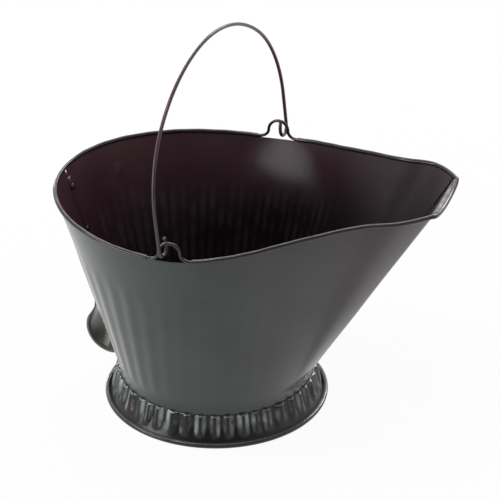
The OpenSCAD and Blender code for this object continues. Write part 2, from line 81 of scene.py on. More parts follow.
class Bench:
    """Makes nodes in one shader or geometry tree."""

    def __init__(self, tree: bpy.types.NodeTree) -> None:
        """Keep the tree that the nodes go into."""
        self.tree = tree

    @classmethod
    def cleared(cls, owner: Any) -> "Bench":
        """Start on the emptied tree of a material or a world."""
        owner.use_nodes = True
        owner.node_tree.nodes.clear()
        return cls(owner.node_tree)

    def node(self, kind: str, values: dict[Any, Any] | None = None,
             **settings: Any) -> bpy.types.Node:
        """Add a node, set it up and connect it.

        Args:
            kind: The node's type name.
            values: Socket name or number to a value, or to a Wire that is linked there.
            settings: The node's own attributes, set before its sockets.

        Returns:
            The new node.
        """
        made = self.tree.nodes.new(kind)
        for name, value in settings.items():
            setattr(made, name, value)
        for key, value in (values or {}).items():
            if isinstance(value, Wire):
                self.tree.links.new(value.socket, made.inputs[key])
            else:
                made.inputs[key].default_value = value
        return made

    def wire(self, kind: str, values: dict[Any, Any] | None = None, out: Any = 0,
             **settings: Any) -> "Wire":
        """Add a node and return one of its outputs.

        Args:
            kind: The node's type name.
            values: As in node().
            out: The output's name or number.
            settings: As in node().

        Returns:
            The output, ready for maths.
        """
        return Wire(self, self.node(kind, values, **settings).outputs[out])

    def mix(self, factor: Any, low: Any, high: Any, blend: str = "MIX") -> "Wire":
        """Blend two colours."""
        return self.wire("ShaderNodeMix", {0: factor, 6: low, 7: high}, 2,
                         data_type="RGBA", blend_type=blend)

    def measure(self, operation: str, first: Any, second: Any) -> "Wire":
        """A number worked out from two vectors."""
        return self.wire("ShaderNodeVectorMath", {0: first, 1: second}, "Value",
                         operation=operation)

    def share(self, vector: "Wire", axis: str) -> "Wire":
        """A vector's X, Y or Z."""
        return self.wire("ShaderNodeSeparateXYZ", {0: vector}, axis)

    def coordinate(self, kind: str) -> "Wire":
        """A texture coordinate of the shaded point."""
        return self.wire("ShaderNodeTexCoord", out=kind)

    def named(self, name: str, data_type: str = "FLOAT") -> "Wire":
        """A mesh attribute, in a geometry tree."""
        return self.wire("GeometryNodeInputNamedAttribute", {"Name": name}, data_type=data_type)

    def noise(self, place: "Wire", scale: float, detail: float = 2.0,
              rough: float = 0.5) -> "Wire":
        """Smooth noise from 0 to 1 at a place."""
        return self.wire("ShaderNodeTexNoise", {"Vector": place, "Scale": scale,
                                                "Detail": detail, "Roughness": rough})

    def ramp(self, value: "Wire", low: float, high: float) -> "Wire":
        """Straight ramp from 0 at low to 1 at high, held at both ends."""
        return self.wire("ShaderNodeMapRange", {"Value": value, "From Min": low, "From Max": high},
                         clamp=True)


class Wire:
    """An output socket; sums and products of wires write their own Math nodes."""

    def __init__(self, bench: Bench, socket: bpy.types.NodeSocket) -> None:
        """Keep the bench and the socket."""
        self.bench = bench
        self.socket = socket

    def _math(self, operation: str, first: Any, second: Any) -> "Wire":
        """Add one Math node."""
        return self.bench.wire("ShaderNodeMath", {0: first, 1: second}, operation=operation)

    def __add__(self, other: Any) -> "Wire":
        """Sum."""
        return self._math("ADD", self, other)

    __radd__ = __add__

    def __sub__(self, other: Any) -> "Wire":
        """Difference."""
        return self._math("SUBTRACT", self, other)

    def __rsub__(self, other: Any) -> "Wire":
        """Difference from a number."""
        return self._math("SUBTRACT", other, self)

    def __mul__(self, other: Any) -> "Wire":
        """Product."""
        return self._math("MULTIPLY", self, other)

    __rmul__ = __mul__

    def __pow__(self, exponent: Any) -> "Wire":
        """Power."""
        return self._math("POWER", self, exponent)

    def __lt__(self, limit: Any) -> "Wire":
        """1 below the limit, else 0."""
        return self._math("LESS_THAN", self, limit)

    def least(self, other: Any) -> "Wire":
        """The smaller of two."""
        return self._math("MINIMUM", self, other)

    def most(self, other: Any) -> "Wire":
        """The larger of two."""
        return self._math("MAXIMUM", self, other)

    def cosine(self) -> "Wire":
        """Cosine of this angle in radians."""
        return self._math("COSINE", self, 0.0)


# ---------------------------------------------------------------- finishes


class Slot(Enum):
    """The record's material slots of the pieces made here."""

    ENAMEL = "black_enamel"
    WIRE = "black_wire"


@dataclass(frozen=True)
class Grain:
    """Noise cut to a range: 0 below low, 1 above high."""

    scale: float
    low: float
    high: float
    detail: float = 2.0
    rough: float = 0.5

    def at(self, place: Wire) -> Wire:
        """The grain at a place."""
        noise = place.bench.noise(place, self.scale, self.detail, self.rough)
        return place.bench.ramp(noise, self.low, self.high)


CLOUDS = Grain(14.0, 0.3, 0.7, 3.0)
SPECKS = Grain(1500.0, 0.72, 0.80, 1.0)
SCRATCHES = Grain(1.0, 0.70, 0.76)
HANDLED = Grain(22.0, 0.35, 0.75, 4.0, 0.6)
PATCHES_OF_WEAR_AND_HIGHLIGHT = Grain(90.0, 0.3, 0.6, 3.0, 0.7)
FLANK_HIGHLIGHT_BREAKS = Grain(45.0, 0.35, 0.6)

CLOUD_DARK = (0.8, 0.8, 0.8, 1.0)
CLOUD_LIGHT = (1.2, 1.2, 1.2, 1.0)
DUST_COLOUR = (0.20, 0.20, 0.19, 1.0)
WORN_AND_HIGHLIT_COLOUR = (0.42, 0.40, 0.40, 1.0)
FLANK_HIGHLIGHT_COLOUR = (0.29, 0.34, 0.34, 1.0)
SHEEN_TINT = (1.0, 1.0, 0.88, 1.0)
SHEEN_ROUGHNESS = 0.4

SCRATCH_STRETCH = (60.0, 60.0, 900.0)
SCRATCH_TURN = (0.5, 0.35, 0.2)
SCRATCH_ROUGHNESS = 0.12
SCRATCH_HEIGHT = -0.4
DUST_ROUGHNESS = 0.3
WEAR_AND_HIGHLIGHT_FADE = 0.12
WEAR_AND_HIGHLIGHT_IN_GAPS = 0.4
FLANK_HIGHLIGHT_SPAN = (0.3, 0.85)
SCOURED_START = (0.11, 0.19)
SCOURED_END = (0.25, 0.235)
FINE_PEEL = 0.25
SLOW_PEEL_SCALE = 60.0
PEEL_DEPTH = 0.0004


@dataclass(frozen=True)
class Lacquer:
    """Black baked lacquer on steel, with its shade, its gloss, its surface faults and its painted
    highlights.

    The shade goes over to shade_far along run; no shade_far is the same shade throughout. On the
    inside this run is painted shade, on the bail painted light. The sizes here are metres.
    """

    name: str
    shade: Triple
    shade_far: Triple | None = None
    run: Triple = (1.0, 0.0, 0.0)
    run_span: Pair = (0.0, 0.22)
    roughness: float = 0.22
    roughness_spread: float = 0.10
    peel: float = 0.12
    peel_scale: float = 900.0
    dust: float = 0.25
    scuffs: float = 0.35
    metallic: float = 0.0
    specular: float = 0.5
    sheen: float = 0.0
    # Grey bare metal on upward faces: partly real abrasion, partly painted highlight.
    wear_and_highlight: float = 0.0
    wear_and_highlight_from: float = 0.84
    swell_at: Triple = (0.0, 0.0, 0.0)
    swell_r: float = 0.06
    swell: float = 0.0
    scoured: float = 0.0
    # Teal-grey painted highlights on the flanks of pleats and flutes.
    flank_highlights: float = 0.0

    def make(self) -> Finish:
        """Build the material.

        Returns:
            The finished material.
        """
        material = bpy.data.materials.new(self.name)
        bench = Bench.cleared(material)
        place = bench.coordinate("Object")
        stretched = bench.wire("ShaderNodeMapping", {
            "Vector": place, "Scale": SCRATCH_STRETCH, "Rotation": SCRATCH_TURN})
        scratch = SCRATCHES.at(stretched) * self.scuffs
        specks = SPECKS.at(place) * self.dust
        up = bench.share(bench.coordinate("Normal"), "Z")
        # Grey bare metal on upward faces: partly real abrasion of the lacquer, partly painted
        # highlight where glints fall.
        patchy = PATCHES_OF_WEAR_AND_HIGHLIGHT.at(place) * (1.0 - WEAR_AND_HIGHLIGHT_IN_GAPS) + WEAR_AND_HIGHLIGHT_IN_GAPS
        wear_and_highlight_mask = bench.ramp(up, self.wear_and_highlight_from, self.wear_and_highlight_from + WEAR_AND_HIGHLIGHT_FADE) * patchy * self.wear_and_highlight
        shader = bench.wire("ShaderNodeBsdfPrincipled", {
            "Base Color": self._colour(place, specks, wear_and_highlight_mask),
            "Roughness": self._roughness(place, specks, scratch),
            "Normal": self._bump(place, scratch), "Metallic": wear_and_highlight_mask + self.metallic,
            "Specular IOR Level": self.specular, "Sheen Weight": self.sheen,
            "Sheen Roughness": SHEEN_ROUGHNESS, "Sheen Tint": SHEEN_TINT})
        bench.node("ShaderNodeOutputMaterial", {"Surface": shader})
        return material

    def _colour(self, place: Wire, specks: Wire, wear_and_highlight_mask: Wire) -> Wire:
        """Colour of the lacquer under its dust, its grey bare metal on upward faces (partly real
        abrasion, partly painted highlight) and its painted highlights on pleat and flute flanks.

        Args:
            place: Object coordinates.
            specks: How dusty each point is.
            wear_and_highlight_mask: How much grey bare metal shows on upward faces, partly real
                abrasion and partly painted highlight.

        Returns:
            The colour.
        """
        bench = place.bench
        far = bench.ramp(bench.measure("DOT_PRODUCT", place, self.run), *self.run_span)
        tint = bench.mix(far, self.shade + (1,), (self.shade_far or self.shade) + (1,))
        clouded = bench.mix(1.0, tint, bench.mix(CLOUDS.at(place), CLOUD_DARK, CLOUD_LIGHT),
                            "MULTIPLY")
        colour = bench.mix(wear_and_highlight_mask, bench.mix(specks, clouded, DUST_COLOUR), WORN_AND_HIGHLIT_COLOUR)
        # Painted highlights on the flanks of pleats and flutes.
        if self.flank_highlights:
            flank = bench.wire("ShaderNodeAttribute", out="Fac", attribute_name="flank")
            low, high = FLANK_HIGHLIGHT_SPAN
            lit_flanks = bench.ramp(flank, low, high) + bench.ramp(flank, -low, -high)
            flank_highlight = lit_flanks * FLANK_HIGHLIGHT_BREAKS.at(place) * self.flank_highlights
            colour = bench.mix(flank_highlight, colour, FLANK_HIGHLIGHT_COLOUR)
        return colour

    def _roughness(self, place: Wire, specks: Wire, scratch: Wire) -> Wire:
        """Roughness with handling marks, and more of it where coal slides down the spout.

        Args:
            place: Object coordinates.
            specks: How dusty each point is.
            scratch: How scratched each point is.

        Returns:
            The roughness.
        """
        bench = place.bench
        forward = bench.share(place, "X")
        throat = bench.ramp(forward, *SCOURED_START) * bench.ramp(forward, *SCOURED_END)
        return (self.roughness + (HANDLED.at(place) - 0.5) * self.roughness_spread
                + scratch * SCRATCH_ROUGHNESS + specks * DUST_ROUGHNESS + throat * self.scoured)

    def _bump(self, place: Wire, scratch: Wire) -> Wire:
        """Orange peel and scratches, and one soft swelling where the finish has it.

        Args:
            place: Object coordinates.
            scratch: How scratched each point is.

        Returns:
            The bent normal.
        """
        bench = place.bench
        height = (bench.noise(place, self.peel_scale) * FINE_PEEL
                  + bench.noise(place, SLOW_PEEL_SCALE) + scratch * SCRATCH_HEIGHT)
        bump = bench.wire("ShaderNodeBump", {
            "Strength": self.peel, "Distance": PEEL_DEPTH, "Height": height})
        if self.swell:
            away = bench.measure("DISTANCE", place, self.swell_at)
            mound = bench.wire("ShaderNodeMapRange", {
                "Value": away, "From Min": 0.0, "From Max": self.swell_r,
                "To Min": 1.0, "To Max": 0.0}, interpolation_type="SMOOTHSTEP")
            bump = bench.wire("ShaderNodeBump", {
                "Strength": 1.0, "Distance": self.swell, "Height": mound, "Normal": bump})
        return bump


OUTSIDE = Lacquer("lacquer_outside", (0.018, 0.028, 0.027), (0.030, 0.020, 0.023),
                  roughness_spread=0.05, peel=0.06, sheen=0.3)
PAN = Lacquer("lacquer_pan", (0.006, 0.003, 0.003), roughness=0.40, dust=0.3, scuffs=0.5,
              specular=0.4)
# The inside runs from near-black low down to a lighter maroon near the rim and towards the back:
# painted shade deep in the pail. Its flute flanks carry painted highlights, and its grey bare metal
# on upward faces is partly real abrasion, partly painted highlight.
INSIDE = Lacquer("lacquer_inside", (0.010, 0.006, 0.007), (0.085, 0.037, 0.048),
                 run=(-0.42, 0.0, 1.0), run_span=(0.15, 0.36), roughness=0.31,
                 roughness_spread=0.08, dust=0.15, scuffs=0.5, specular=0.31, wear_and_highlight=0.45,
                 wear_and_highlight_from=0.7, swell_at=(0.034, 0.146, 0.193), swell_r=0.072, swell=0.008,
                 scoured=0.25, flank_highlights=0.05)
# Grey bare metal along the bead's top: a painted highlight line, partly real abrasion.
ROLLED = Lacquer("lacquer_rolled_edge", (0.016, 0.012, 0.014), (0.020, 0.012, 0.015),
                 roughness=0.18, roughness_spread=0.06, peel=0.15, scuffs=0.5, wear_and_highlight=0.8)
# Teal-grey painted highlights on the pleats' flanks, and grey bare metal on their upward shoulders:
# painted glints, partly real abrasion.
PLEATED = Lacquer("lacquer_pleats", (0.009, 0.006, 0.008), (0.011, 0.006, 0.008),
                  roughness=0.24, roughness_spread=0.06, peel=0.08, specular=0.34, wear_and_highlight=1.0,
                  wear_and_highlight_from=0.62, flank_highlights=1.0)
# Grey bare metal along the hem's top: painted highlight lines, partly real abrasion.
HEM = Lacquer("lacquer_hem", (0.010, 0.006, 0.008), roughness=0.18, roughness_spread=0.06,
              peel=0.10, wear_and_highlight=0.65, wear_and_highlight_from=0.8)
# Grey bare metal on the wire's upward faces: painted highlight, partly real abrasion.
WIRE_BLACK = Lacquer("lacquer_wire", (0.014, 0.009, 0.011), peel=0.3, peel_scale=500.0,
                     scuffs=0.8, wear_and_highlight=0.6)
# Lighter and redder towards the bail's top: painted light. Its grey bare metal on upward faces is
# partly real abrasion, partly painted highlight.
BAIL = Lacquer("lacquer_bail", (0.028, 0.022, 0.024), (0.075, 0.034, 0.044),
               run=(0.0, 0.3, 1.0), run_span=(0.29, 0.37), peel=0.3, peel_scale=500.0,
               scuffs=0.8, wear_and_highlight=0.6)
# Far lighter than the other lacquers: painted light for the glare that the handle catches.
HANDLE = Lacquer("lacquer_handle", (0.105, 0.10, 0.09), peel=0.06, scuffs=0.7)
STEEL = Lacquer("plain_steel", (0.45, 0.45, 0.44), roughness=0.35, metallic=1.0)


# ---------------------------------------------------------------- curves


def smooth(t: Array) -> Array:
    """Soft step from 0 to 1."""
    c = np.clip(t, 0.0, 1.0)
    return c * c * (3.0 - 2.0 * c)


def unit(v: Array) -> Array:
    """Vectors of length 1 along the last axis."""
    return v / np.maximum(np.linalg.norm(v, axis=-1, keepdims=True), 1e-9)


def cubic(t: Any, start: Any, end: Any, leave: Any, arrive: Any) -> Any:
    """Cubic from start to end, with the slopes leave and arrive, for t from 0 to 1."""
    return ((2 * t ** 3 - 3 * t ** 2 + 1) * start + (t ** 3 - 2 * t ** 2 + t) * leave
            + (3 * t ** 2 - 2 * t ** 3) * end + (t ** 3 - t ** 2) * arrive)


def spline(knots: Array, steps: int) -> Array:
    """Smooth curve through knots, by the square root of the chord.

    Args:
        knots: The points that the curve passes.
        steps: Points between two knots.

    Returns:
        The curve's points.
    """
    padded = np.concatenate([2 * knots[:1] - knots[1:2], knots, 2 * knots[-1:] - knots[-2:-1]])
    out = []
    for p0, p1, p2, p3 in zip(padded, padded[1:], padded[2:], padded[3:]):
        d0, d1, d2 = (max(1e-6, float(np.linalg.norm(b - a)) ** 0.5)
                      for a, b in ((p0, p1), (p1, p2), (p2, p3)))
        m1 = (p1 - p0) / d0 - (p2 - p0) / (d0 + d1) + (p2 - p1) / d1
        m2 = (p2 - p1) / d1 - (p3 - p1) / (d1 + d2) + (p3 - p2) / d2
        out += [cubic(t, p1, p2, d1 * m1, d1 * m2)
                for t in np.linspace(0, 1, steps, endpoint=False)]
    return np.array(out + [knots[-1]])


def arc_points(centre: Pair, r: float, start: float, end: float, count: int) -> Array:
    """Points of an arc in a plane, with angles in degrees."""
    w = np.radians(np.linspace(start, end, count + 1))
    return np.stack([centre[0] + r * np.cos(w), centre[1] + r * np.sin(w)], -1)


def turned(points: Array, axis: str, angle: float) -> Array:
    """Points turned about the y or z axis.

    Args:
        points: The points.
        axis: "y" or "z".
        angle: In degrees.

    Returns:
        The turned points.
    """
    c, s = math.cos(math.radians(angle)), math.sin(math.radians(angle))
    matrices = {"z": [[c, -s, 0], [s, c, 0], [0, 0, 1]], "y": [[c, 0, s], [0, 1, 0], [-s, 0, c]]}
    return points @ np.array(matrices[axis]).T


def revolved(profile: Array, w: Array) -> Array:
    """A profile turned about the foot's axis.

    Args:
        profile: Points [radius, height]; further columns are left out.
        w: Angles in radians.

    Returns:
        A grid of angles by profile points.
    """
    r, z = profile[None, :, 0], profile[None, :, 1]
    return np.stack([r * np.cos(w)[:, None], r * np.sin(w)[:, None],
                     np.broadcast_to(z, (len(w), len(profile)))], -1)


def grid_faces(rows: int, cols: int, wrap_rows: bool, wrap_cols: bool) -> Array:
    """Quads of a grid of points.

    Args:
        rows: Points along the first axis.
        cols: Points along the second axis.
        wrap_rows: Whether the last row joins the first.
        wrap_cols: Whether the last column joins the first.

    Returns:
        One row of four point numbers for each quad.
    """
    r = np.arange(rows if wrap_rows else rows - 1)[:, None]
    c = np.arange(cols if wrap_cols else cols - 1)[None, :]
    r2, c2 = (r + 1) % rows, (c + 1) % cols
    quads = [r * cols + c, r * cols + c2, r2 * cols + c2, r2 * cols + c]
    return np.stack(quads, -1).reshape(-1, 4)


# ---------------------------------------------------------------- objects


def placed(name: str, data: Any) -> Piece:
    """A new object in the scene, at the origin."""
    made = bpy.data.objects.new(name, data)
    bpy.context.scene.collection.objects.link(made)
    return made


def mesh_object(name: str, points: Array, faces: Sequence[Sequence[int]], finish: Finish,
                attributes: dict[str, Array] | None = None) -> Piece:
    """Make a smooth-shaded object from points in millimetres.

    Args:
        name: The object's name.
        points: One row of x, y, z for each point.
        faces: Point numbers of each face.
        finish: The material.
        attributes: Numbers for each point, by attribute name.

    Returns:
        The object.
    """
    mesh = bpy.data.meshes.new(name)
    corners = (points.reshape(-1, 3) * MM).tolist()
    mesh.from_pydata(corners, [], [list(map(int, f)) for f in faces])
    for key, values in (attributes or {}).items():
        layer = mesh.attributes.new(key, "FLOAT", "POINT")
        layer.data.foreach_set("value", values.ravel().astype(np.float32))
    mesh.shade_smooth()
    mesh.materials.append(finish)
    return placed(name, mesh)


def freeze(obj: Piece) -> Piece:
    """Turn an object and its modifiers into a plain mesh.

    Args:
        obj: The object; a mesh is changed in place.

    Returns:
        The plain object, of the same name.
    """
    graph = bpy.context.evaluated_depsgraph_get()
    graph.update()
    plain = bpy.data.meshes.new_from_object(obj.evaluated_get(graph), depsgraph=graph)
    if obj.type == "MESH":
        obj.modifiers.clear()
        obj.data = plain
        return obj
    name = obj.name
    bpy.data.objects.remove(obj)
    return placed(name, plain)


def thicken(obj: Piece, thickness: float, inner_slot: int = 0, offset: float = -1.0) -> Piece:
    """Give a sheet its thickness.

    Args:
        obj: A mesh of one layer.
        thickness: In millimetres.
        inner_slot: How many material slots further the back face's material is.
        offset: -1 puts the thickness behind the front face, 0 half to each side.

    Returns:
        The sheet as a plain mesh.
    """
    wall = obj.modifiers.new("wall", "SOLIDIFY")
    wall.thickness = thickness * MM
    wall.offset = offset
    wall.material_offset = inner_slot
    return freeze(obj)


def lathe(name: str, profile: Array, segments: int, finish: Finish, closed: bool) -> Piece:
    """A turned piece about the foot's axis, its poles joined.

    Args:
        name: The object's name.
        profile: Points [radius, height] in millimetres, anticlockwise round the section.
        segments: Steps round the axis.
        finish: The material.
        closed: Whether the profile closes on itself.

    Returns:
        The object.
    """
    points = revolved(profile, np.linspace(0.0, 2.0 * math.pi, segments, endpoint=False))
    faces = grid_faces(segments, len(profile), True, closed)[:, ::-1]
    made = mesh_object(name, points, faces, finish)
    work = bmesh.new()
    work.from_mesh(made.data)
    bmesh.ops.remove_doubles(work, verts=work.verts, dist=1e-7)
    work.to_mesh(made.data)
    work.free()
    return made


def dress(obj: Piece, body: str, slot: Slot, *nodes: str) -> Piece:
    """Let a finished piece ride on its body and stand for its CAD nodes.

    Args:
        obj: The piece.
        body: The body's name.
        slot: The record's material slot; not used.
        nodes: CAD nodes that the piece replaces.

    Returns:
        The piece.
    """
    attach(obj, body)
    if nodes:
        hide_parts(*nodes)
    log.info("%s: %d faces on %s", obj.name, len(obj.data.polygons), body)
    return obj


# ---------------------------------------------------------------- geometry node trees


class ShapeTree:
    """A Geometry Nodes tree with named inputs, used once or more as a modifier."""

    def __init__(self, name: str, inputs: dict[str, tuple[str, Any]]) -> None:
        """Make the tree with its inputs; Material comes last in every tree.

        Args:
            name: The tree's name.
            inputs: Input name to its socket type and default.
        """
        self.tree = bpy.data.node_groups.new(name, "GeometryNodeTree")
        for way in ("OUTPUT", "INPUT"):
            self.tree.interface.new_socket("Geometry", in_out=way,
                                           socket_type="NodeSocketGeometry")
        self.ids: dict[str, str] = {}
        for key, (kind, default) in (inputs | {"Material": ("NodeSocketMaterial", None)}).items():
            item = self.tree.interface.new_socket(key, in_out="INPUT", socket_type=kind)
            if default is not None:
                item.default_value = default
            self.ids[key] = item.identifier
        self.bench = Bench(self.tree)
        self._inputs = self.bench.node("NodeGroupInput")

    def given(self, name: str) -> Wire:
        """The wire of a named input."""
        return Wire(self.bench, self._inputs.outputs[name])

    def close(self, geometry: Wire, rounded: Wire | bool = True) -> "ShapeTree":
        """End the tree: instances made real, the material set.

        Args:
            geometry: The shape.
            rounded: Which faces are shaded smooth.

        Returns:
            The tree.
        """
        real = self.bench.wire("GeometryNodeRealizeInstances", {"Geometry": geometry})
        shaded = self.bench.wire("GeometryNodeSetShadeSmooth", {
            "Geometry": real, "Selection": rounded})
        dressed = self.bench.wire("GeometryNodeSetMaterial", {
            "Geometry": shaded, "Material": self.given("Material")})
        self.bench.node("NodeGroupOutput", {"Geometry": dressed})
        return self

    def shape(self, obj: Piece, **values: Any) -> Piece:
        """Use the tree on an object, with values for its inputs.

        Args:
            obj: The object.
            values: Input name to its value.

        Returns:
            The object as a plain mesh.
        """
        modifier = obj.modifiers.new(self.tree.name, "NODES")
        modifier.node_group = self.tree
        for key, value in values.items():
            modifier[self.ids[key]] = value
        return freeze(obj)


def wire_tree() -> ShapeTree:
    """Sweeps a round wire along a curve, with flat cut ends.

    Returns:
        The tree, with inputs Radius, Sides and Material.
    """
    tree = ShapeTree("round wire", {"Radius": ("NodeSocketFloat", 0.002),
                                    "Sides": ("NodeSocketInt", 16)})
    ring = tree.bench.wire("GeometryNodeCurvePrimitiveCircle", {
        "Resolution": tree.given("Sides"), "Radius": tree.given("Radius")})
    tube = tree.bench.wire("GeometryNodeCurveToMesh", {
        "Curve": tree.given("Geometry"), "Profile Curve": ring, "Fill Caps": True})
    corners = tree.bench.wire("GeometryNodeInputMeshFaceNeighbors", out="Vertex Count")
    return tree.close(tube, corners < 4.5)


def ripple_tree() -> ShapeTree:
    """Presses round ribs into a sheet, out along its normals.

    The sheet carries two attributes: ripple_phase, the rib's phase in radians, and ripple_share,
    how much of the depth a point gets.

    Returns:
        The tree, with inputs Depth, Fullness and Material.
    """
    tree = ShapeTree("pressed ribs", {"Depth": ("NodeSocketFloat", 0.001),
                                      "Fullness": ("NodeSocketFloat", 1.0)})
    bench = tree.bench
    phase, share = bench.named("ripple_phase"), bench.named("ripple_share")
    crest = (phase.cosine() * 0.5 + 0.5) ** tree.given("Fullness")
    offset = bench.wire("ShaderNodeVectorMath", {
        0: bench.wire("GeometryNodeInputNormal"), "Scale": crest * share * tree.given("Depth")},
        operation="SCALE")
    return tree.close(bench.wire("GeometryNodeSetPosition", {
        "Geometry": tree.given("Geometry"), "Offset": offset}))


def rivet_tree() -> ShapeTree:
    """Sets a rivet on each point, turned to the point's axis attribute.

    Returns:
        The tree, with inputs Rivet and Material.
    """
    tree = ShapeTree("rivets", {"Rivet": ("NodeSocketObject", None)})
    bench = tree.bench
    rivet = bench.wire("GeometryNodeObjectInfo", {"Object": tree.given("Rivet")}, "Geometry")
    turn = bench.wire("FunctionNodeAlignRotationToVector", {
        "Vector": bench.named("rivet_axis", "FLOAT_VECTOR")}, axis="Z")
    return tree.close(bench.wire("GeometryNodeInstanceOnPoints", {
        "Points": tree.given("Geometry"), "Instance": rivet, "Rotation": turn}))


def wire_object(name: str, path: Array, radius: float, finish: Finish, tree: ShapeTree,
                sides: int, closed: bool = False) -> Piece:
    """A round wire along a path.

    Args:
        name: The object's name.
        path: Points in millimetres.
        radius: The wire's radius in millimetres.
        finish: The material.
        tree: The tree of wire_tree().
        sides: Sides of the wire's section.
        closed: Whether the path closes on itself.

    Returns:
        The wire as a plain mesh.
    """
    curve = bpy.data.curves.new(name, "CURVE")
    curve.dimensions = "3D"
    curve.twist_mode = "MINIMUM"
    line = curve.splines.new("POLY")
    line.points.add(len(path) - 1)
    line.points.foreach_set("co", np.c_[path * MM, np.ones(len(path))].ravel())
    line.use_cyclic_u = closed
    return tree.shape(placed(name, curve), Radius=radius * MM, Sides=sides, Material=finish)


# ---------------------------------------------------------------- the pail's form


@dataclass
class PailForm:
    """Sizes of the pail and the curves that its pieces share."""

    sheet: float = 0.8
    fit: float = 0.03
    neck_r: float = 112.5
    neck_base: float = 24.0
    neck_top: float = 42.0
    rim_back: float = 183.0
    rim_side: float = 158.0
    rim_z: float = 254.5
    back_rise: float = 5.0
    spout_reach: float = 264.0
    spout_rise: float = 44.0
    spout_shares: tuple[float, ...] = (0.0, 0.25, 0.5, 0.75, 0.9, 1.0)
    spout_widths: tuple[float, ...] = (158.0, 145.5, 113.5, 82.5, 71.5, 47.5)
    crease_slope: float = 1.4
    lip_reach: float = 3.5
    lip_droop: float = 5.5
    crease_drop: float = 3.2
    bead_r: float = 2.6
    wire_r: float = 1.8
    near_ear: float = 3.0
    far_ear: float = 23.0
    ear_r: float = 12.4
    ear_leg: float = 9.3
    ear_foot: float = 12.0
    rise_start: float = -16.0
    halvings: int = 40

    def half_width(self, x: Array) -> Array:
        """Half width of the rim: an ellipse at the back, a curve through stations at the front.

        Args:
            x: Distances in front of the axis.

        Returns:
            One half width for each distance.
        """
        x = np.asarray(x, float)
        stations = np.array(self.spout_shares) * self.spout_reach
        widths = np.array(self.spout_widths)
        steps = np.diff(stations)
        chords = np.diff(widths) / steps
        slopes = np.zeros(len(stations))
        slopes[1:-1] = ((chords[:-1] * steps[1:] + chords[1:] * steps[:-1])
                        / (steps[1:] + steps[:-1]))
        slopes[-1] = self.crease_slope * chords[-1] - (self.crease_slope - 1) * chords[-2]
        i = np.clip(np.searchsorted(stations, x, side="left") - 1, 0, len(steps) - 1)
        h = steps[i]
        t = np.clip((x - stations[i]) / h, 0.0, 1.0)
        front = cubic(t, widths[i], widths[i + 1], slopes[i] * h, slopes[i + 1] * h)
        back = self.rim_side * np.sqrt(np.clip(1 - (x / self.rim_back) ** 2, 0.0, None))
        return np.where(x < 0, back, front)

    def rim_height(self, x: Array) -> Array:
        """Height of the rim at distances x in front of the axis."""
        x = np.asarray(x, float)
        climb = smooth((x - self.rise_start) / (self.spout_reach - self.rise_start))
        behind = np.clip(-x / self.rim_back, 0, None)
        return self.rim_z + self.spout_rise * climb + self.back_rise * behind ** 2

    @property
    def crease_angle(self) -> float:
        """Plan angle of the spout's corner from the spout's axis."""
        return math.degrees(math.atan(self.spout_widths[-1] / self.spout_reach))

    @property
    def back_top(self) -> float:
        """Height of the rim at the back."""
        return self.rim_z + self.back_rise

    def rim_point(self, p: Array) -> Array:
        """Points of the bare rim line, straight across the spout's crease.

        Args:
            p: Plan angles.

        Returns:
            One point for each angle.
        """
        p = np.asarray(p, float)
        b, side = np.abs(p), np.where(p < 0, -1.0, 1.0)
        rad = np.radians(b)
        r = 1 / np.sqrt((np.cos(rad) / self.rim_back) ** 2 + (np.sin(rad) / self.rim_side) ** 2)
        q = np.clip(180.0 - b, 0.0, 89.999)
        low, high = np.zeros_like(q), np.full_like(q, self.spout_reach)
        for _ in range(self.halvings):
            middle = (low + high) / 2
            inside = self.half_width(middle) > middle * np.tan(np.radians(q))
            low, high = np.where(inside, middle, low), np.where(inside, high, middle)
        behind, across = b <= 90, q < self.crease_angle
        straight = self.spout_widths[-1] * np.sin(np.radians(90 * q / self.crease_angle))
        x = np.where(across, self.spout_reach, np.where(behind, -r * np.cos(rad), low))
        y = np.where(across, straight, np.where(behind, r * np.sin(rad), self.half_width(low)))
        return np.stack([x, side * y, self.rim_height(x)], -1)

    def edge_point(self, p: Array) -> Array:
        """Middle of the bead: the rim line, and across the spout the lip's turned-out edge.

        Args:
            p: Plan angles.

        Returns:
            One point for each angle.
        """
        p = np.asarray(p, float)
        points = self.rim_point(p)
        q = (180.0 - np.abs(p)) / self.crease_angle
        s = np.clip(np.sin(np.radians(90 * np.clip(q, 0, 1))), 0, 1)
        points[..., 0] += self.lip_reach * (1 - s ** 6) ** 0.4
        points[..., 2] -= self.lip_droop * (1 - s * s)
        return points

    @staticmethod
    def wrap(p: Array) -> Array:
        """Plan angles brought to the range from -180 to 180."""
        return (np.asarray(p, float) + 180.0) % 360.0 - 180.0

    def angle_at(self, x: float) -> float:
        """Plan angle of the rim point at distance x in front of the axis."""
        return math.degrees(math.atan2(float(self.half_width(x)), -x))

    def ear_centre(self, x: float, side: float) -> Array:
        """Centre of the ear's arch at distance x on one side: the bail's pivot there."""
        return np.array([x, side * float(self.half_width(x)),
                         float(self.rim_height(x)) + self.ear_leg])

    def back_line(self, z: Array) -> Array:
        """Distance from the axis, negative, of the wall's outside up the back."""
        rise = (np.asarray(z, float) - self.neck_top) / (self.back_top - self.neck_top)
        return -self.neck_r + (self.neck_r - self.rim_back) * rise

    @property
    def back_tilt(self) -> float:
        """Lean of the back wall from the plumb line, in radians."""
        return math.atan((self.rim_back - self.neck_r) / (self.back_top - self.neck_top))

    def on_back(self, y: float, z: float, out: float = 0.0) -> Array:
        """A point on the back wall's outside, moved out along its normal."""
        t = self.back_tilt
        return np.array([float(self.back_line(z)) - out * math.cos(t), y, z - out * math.sin(t)])

    def sag(self, half: float) -> float:
        """How far the curved wall falls away under a flat piece of this half width."""
        return half ** 2 / (2 * self.neck_r)


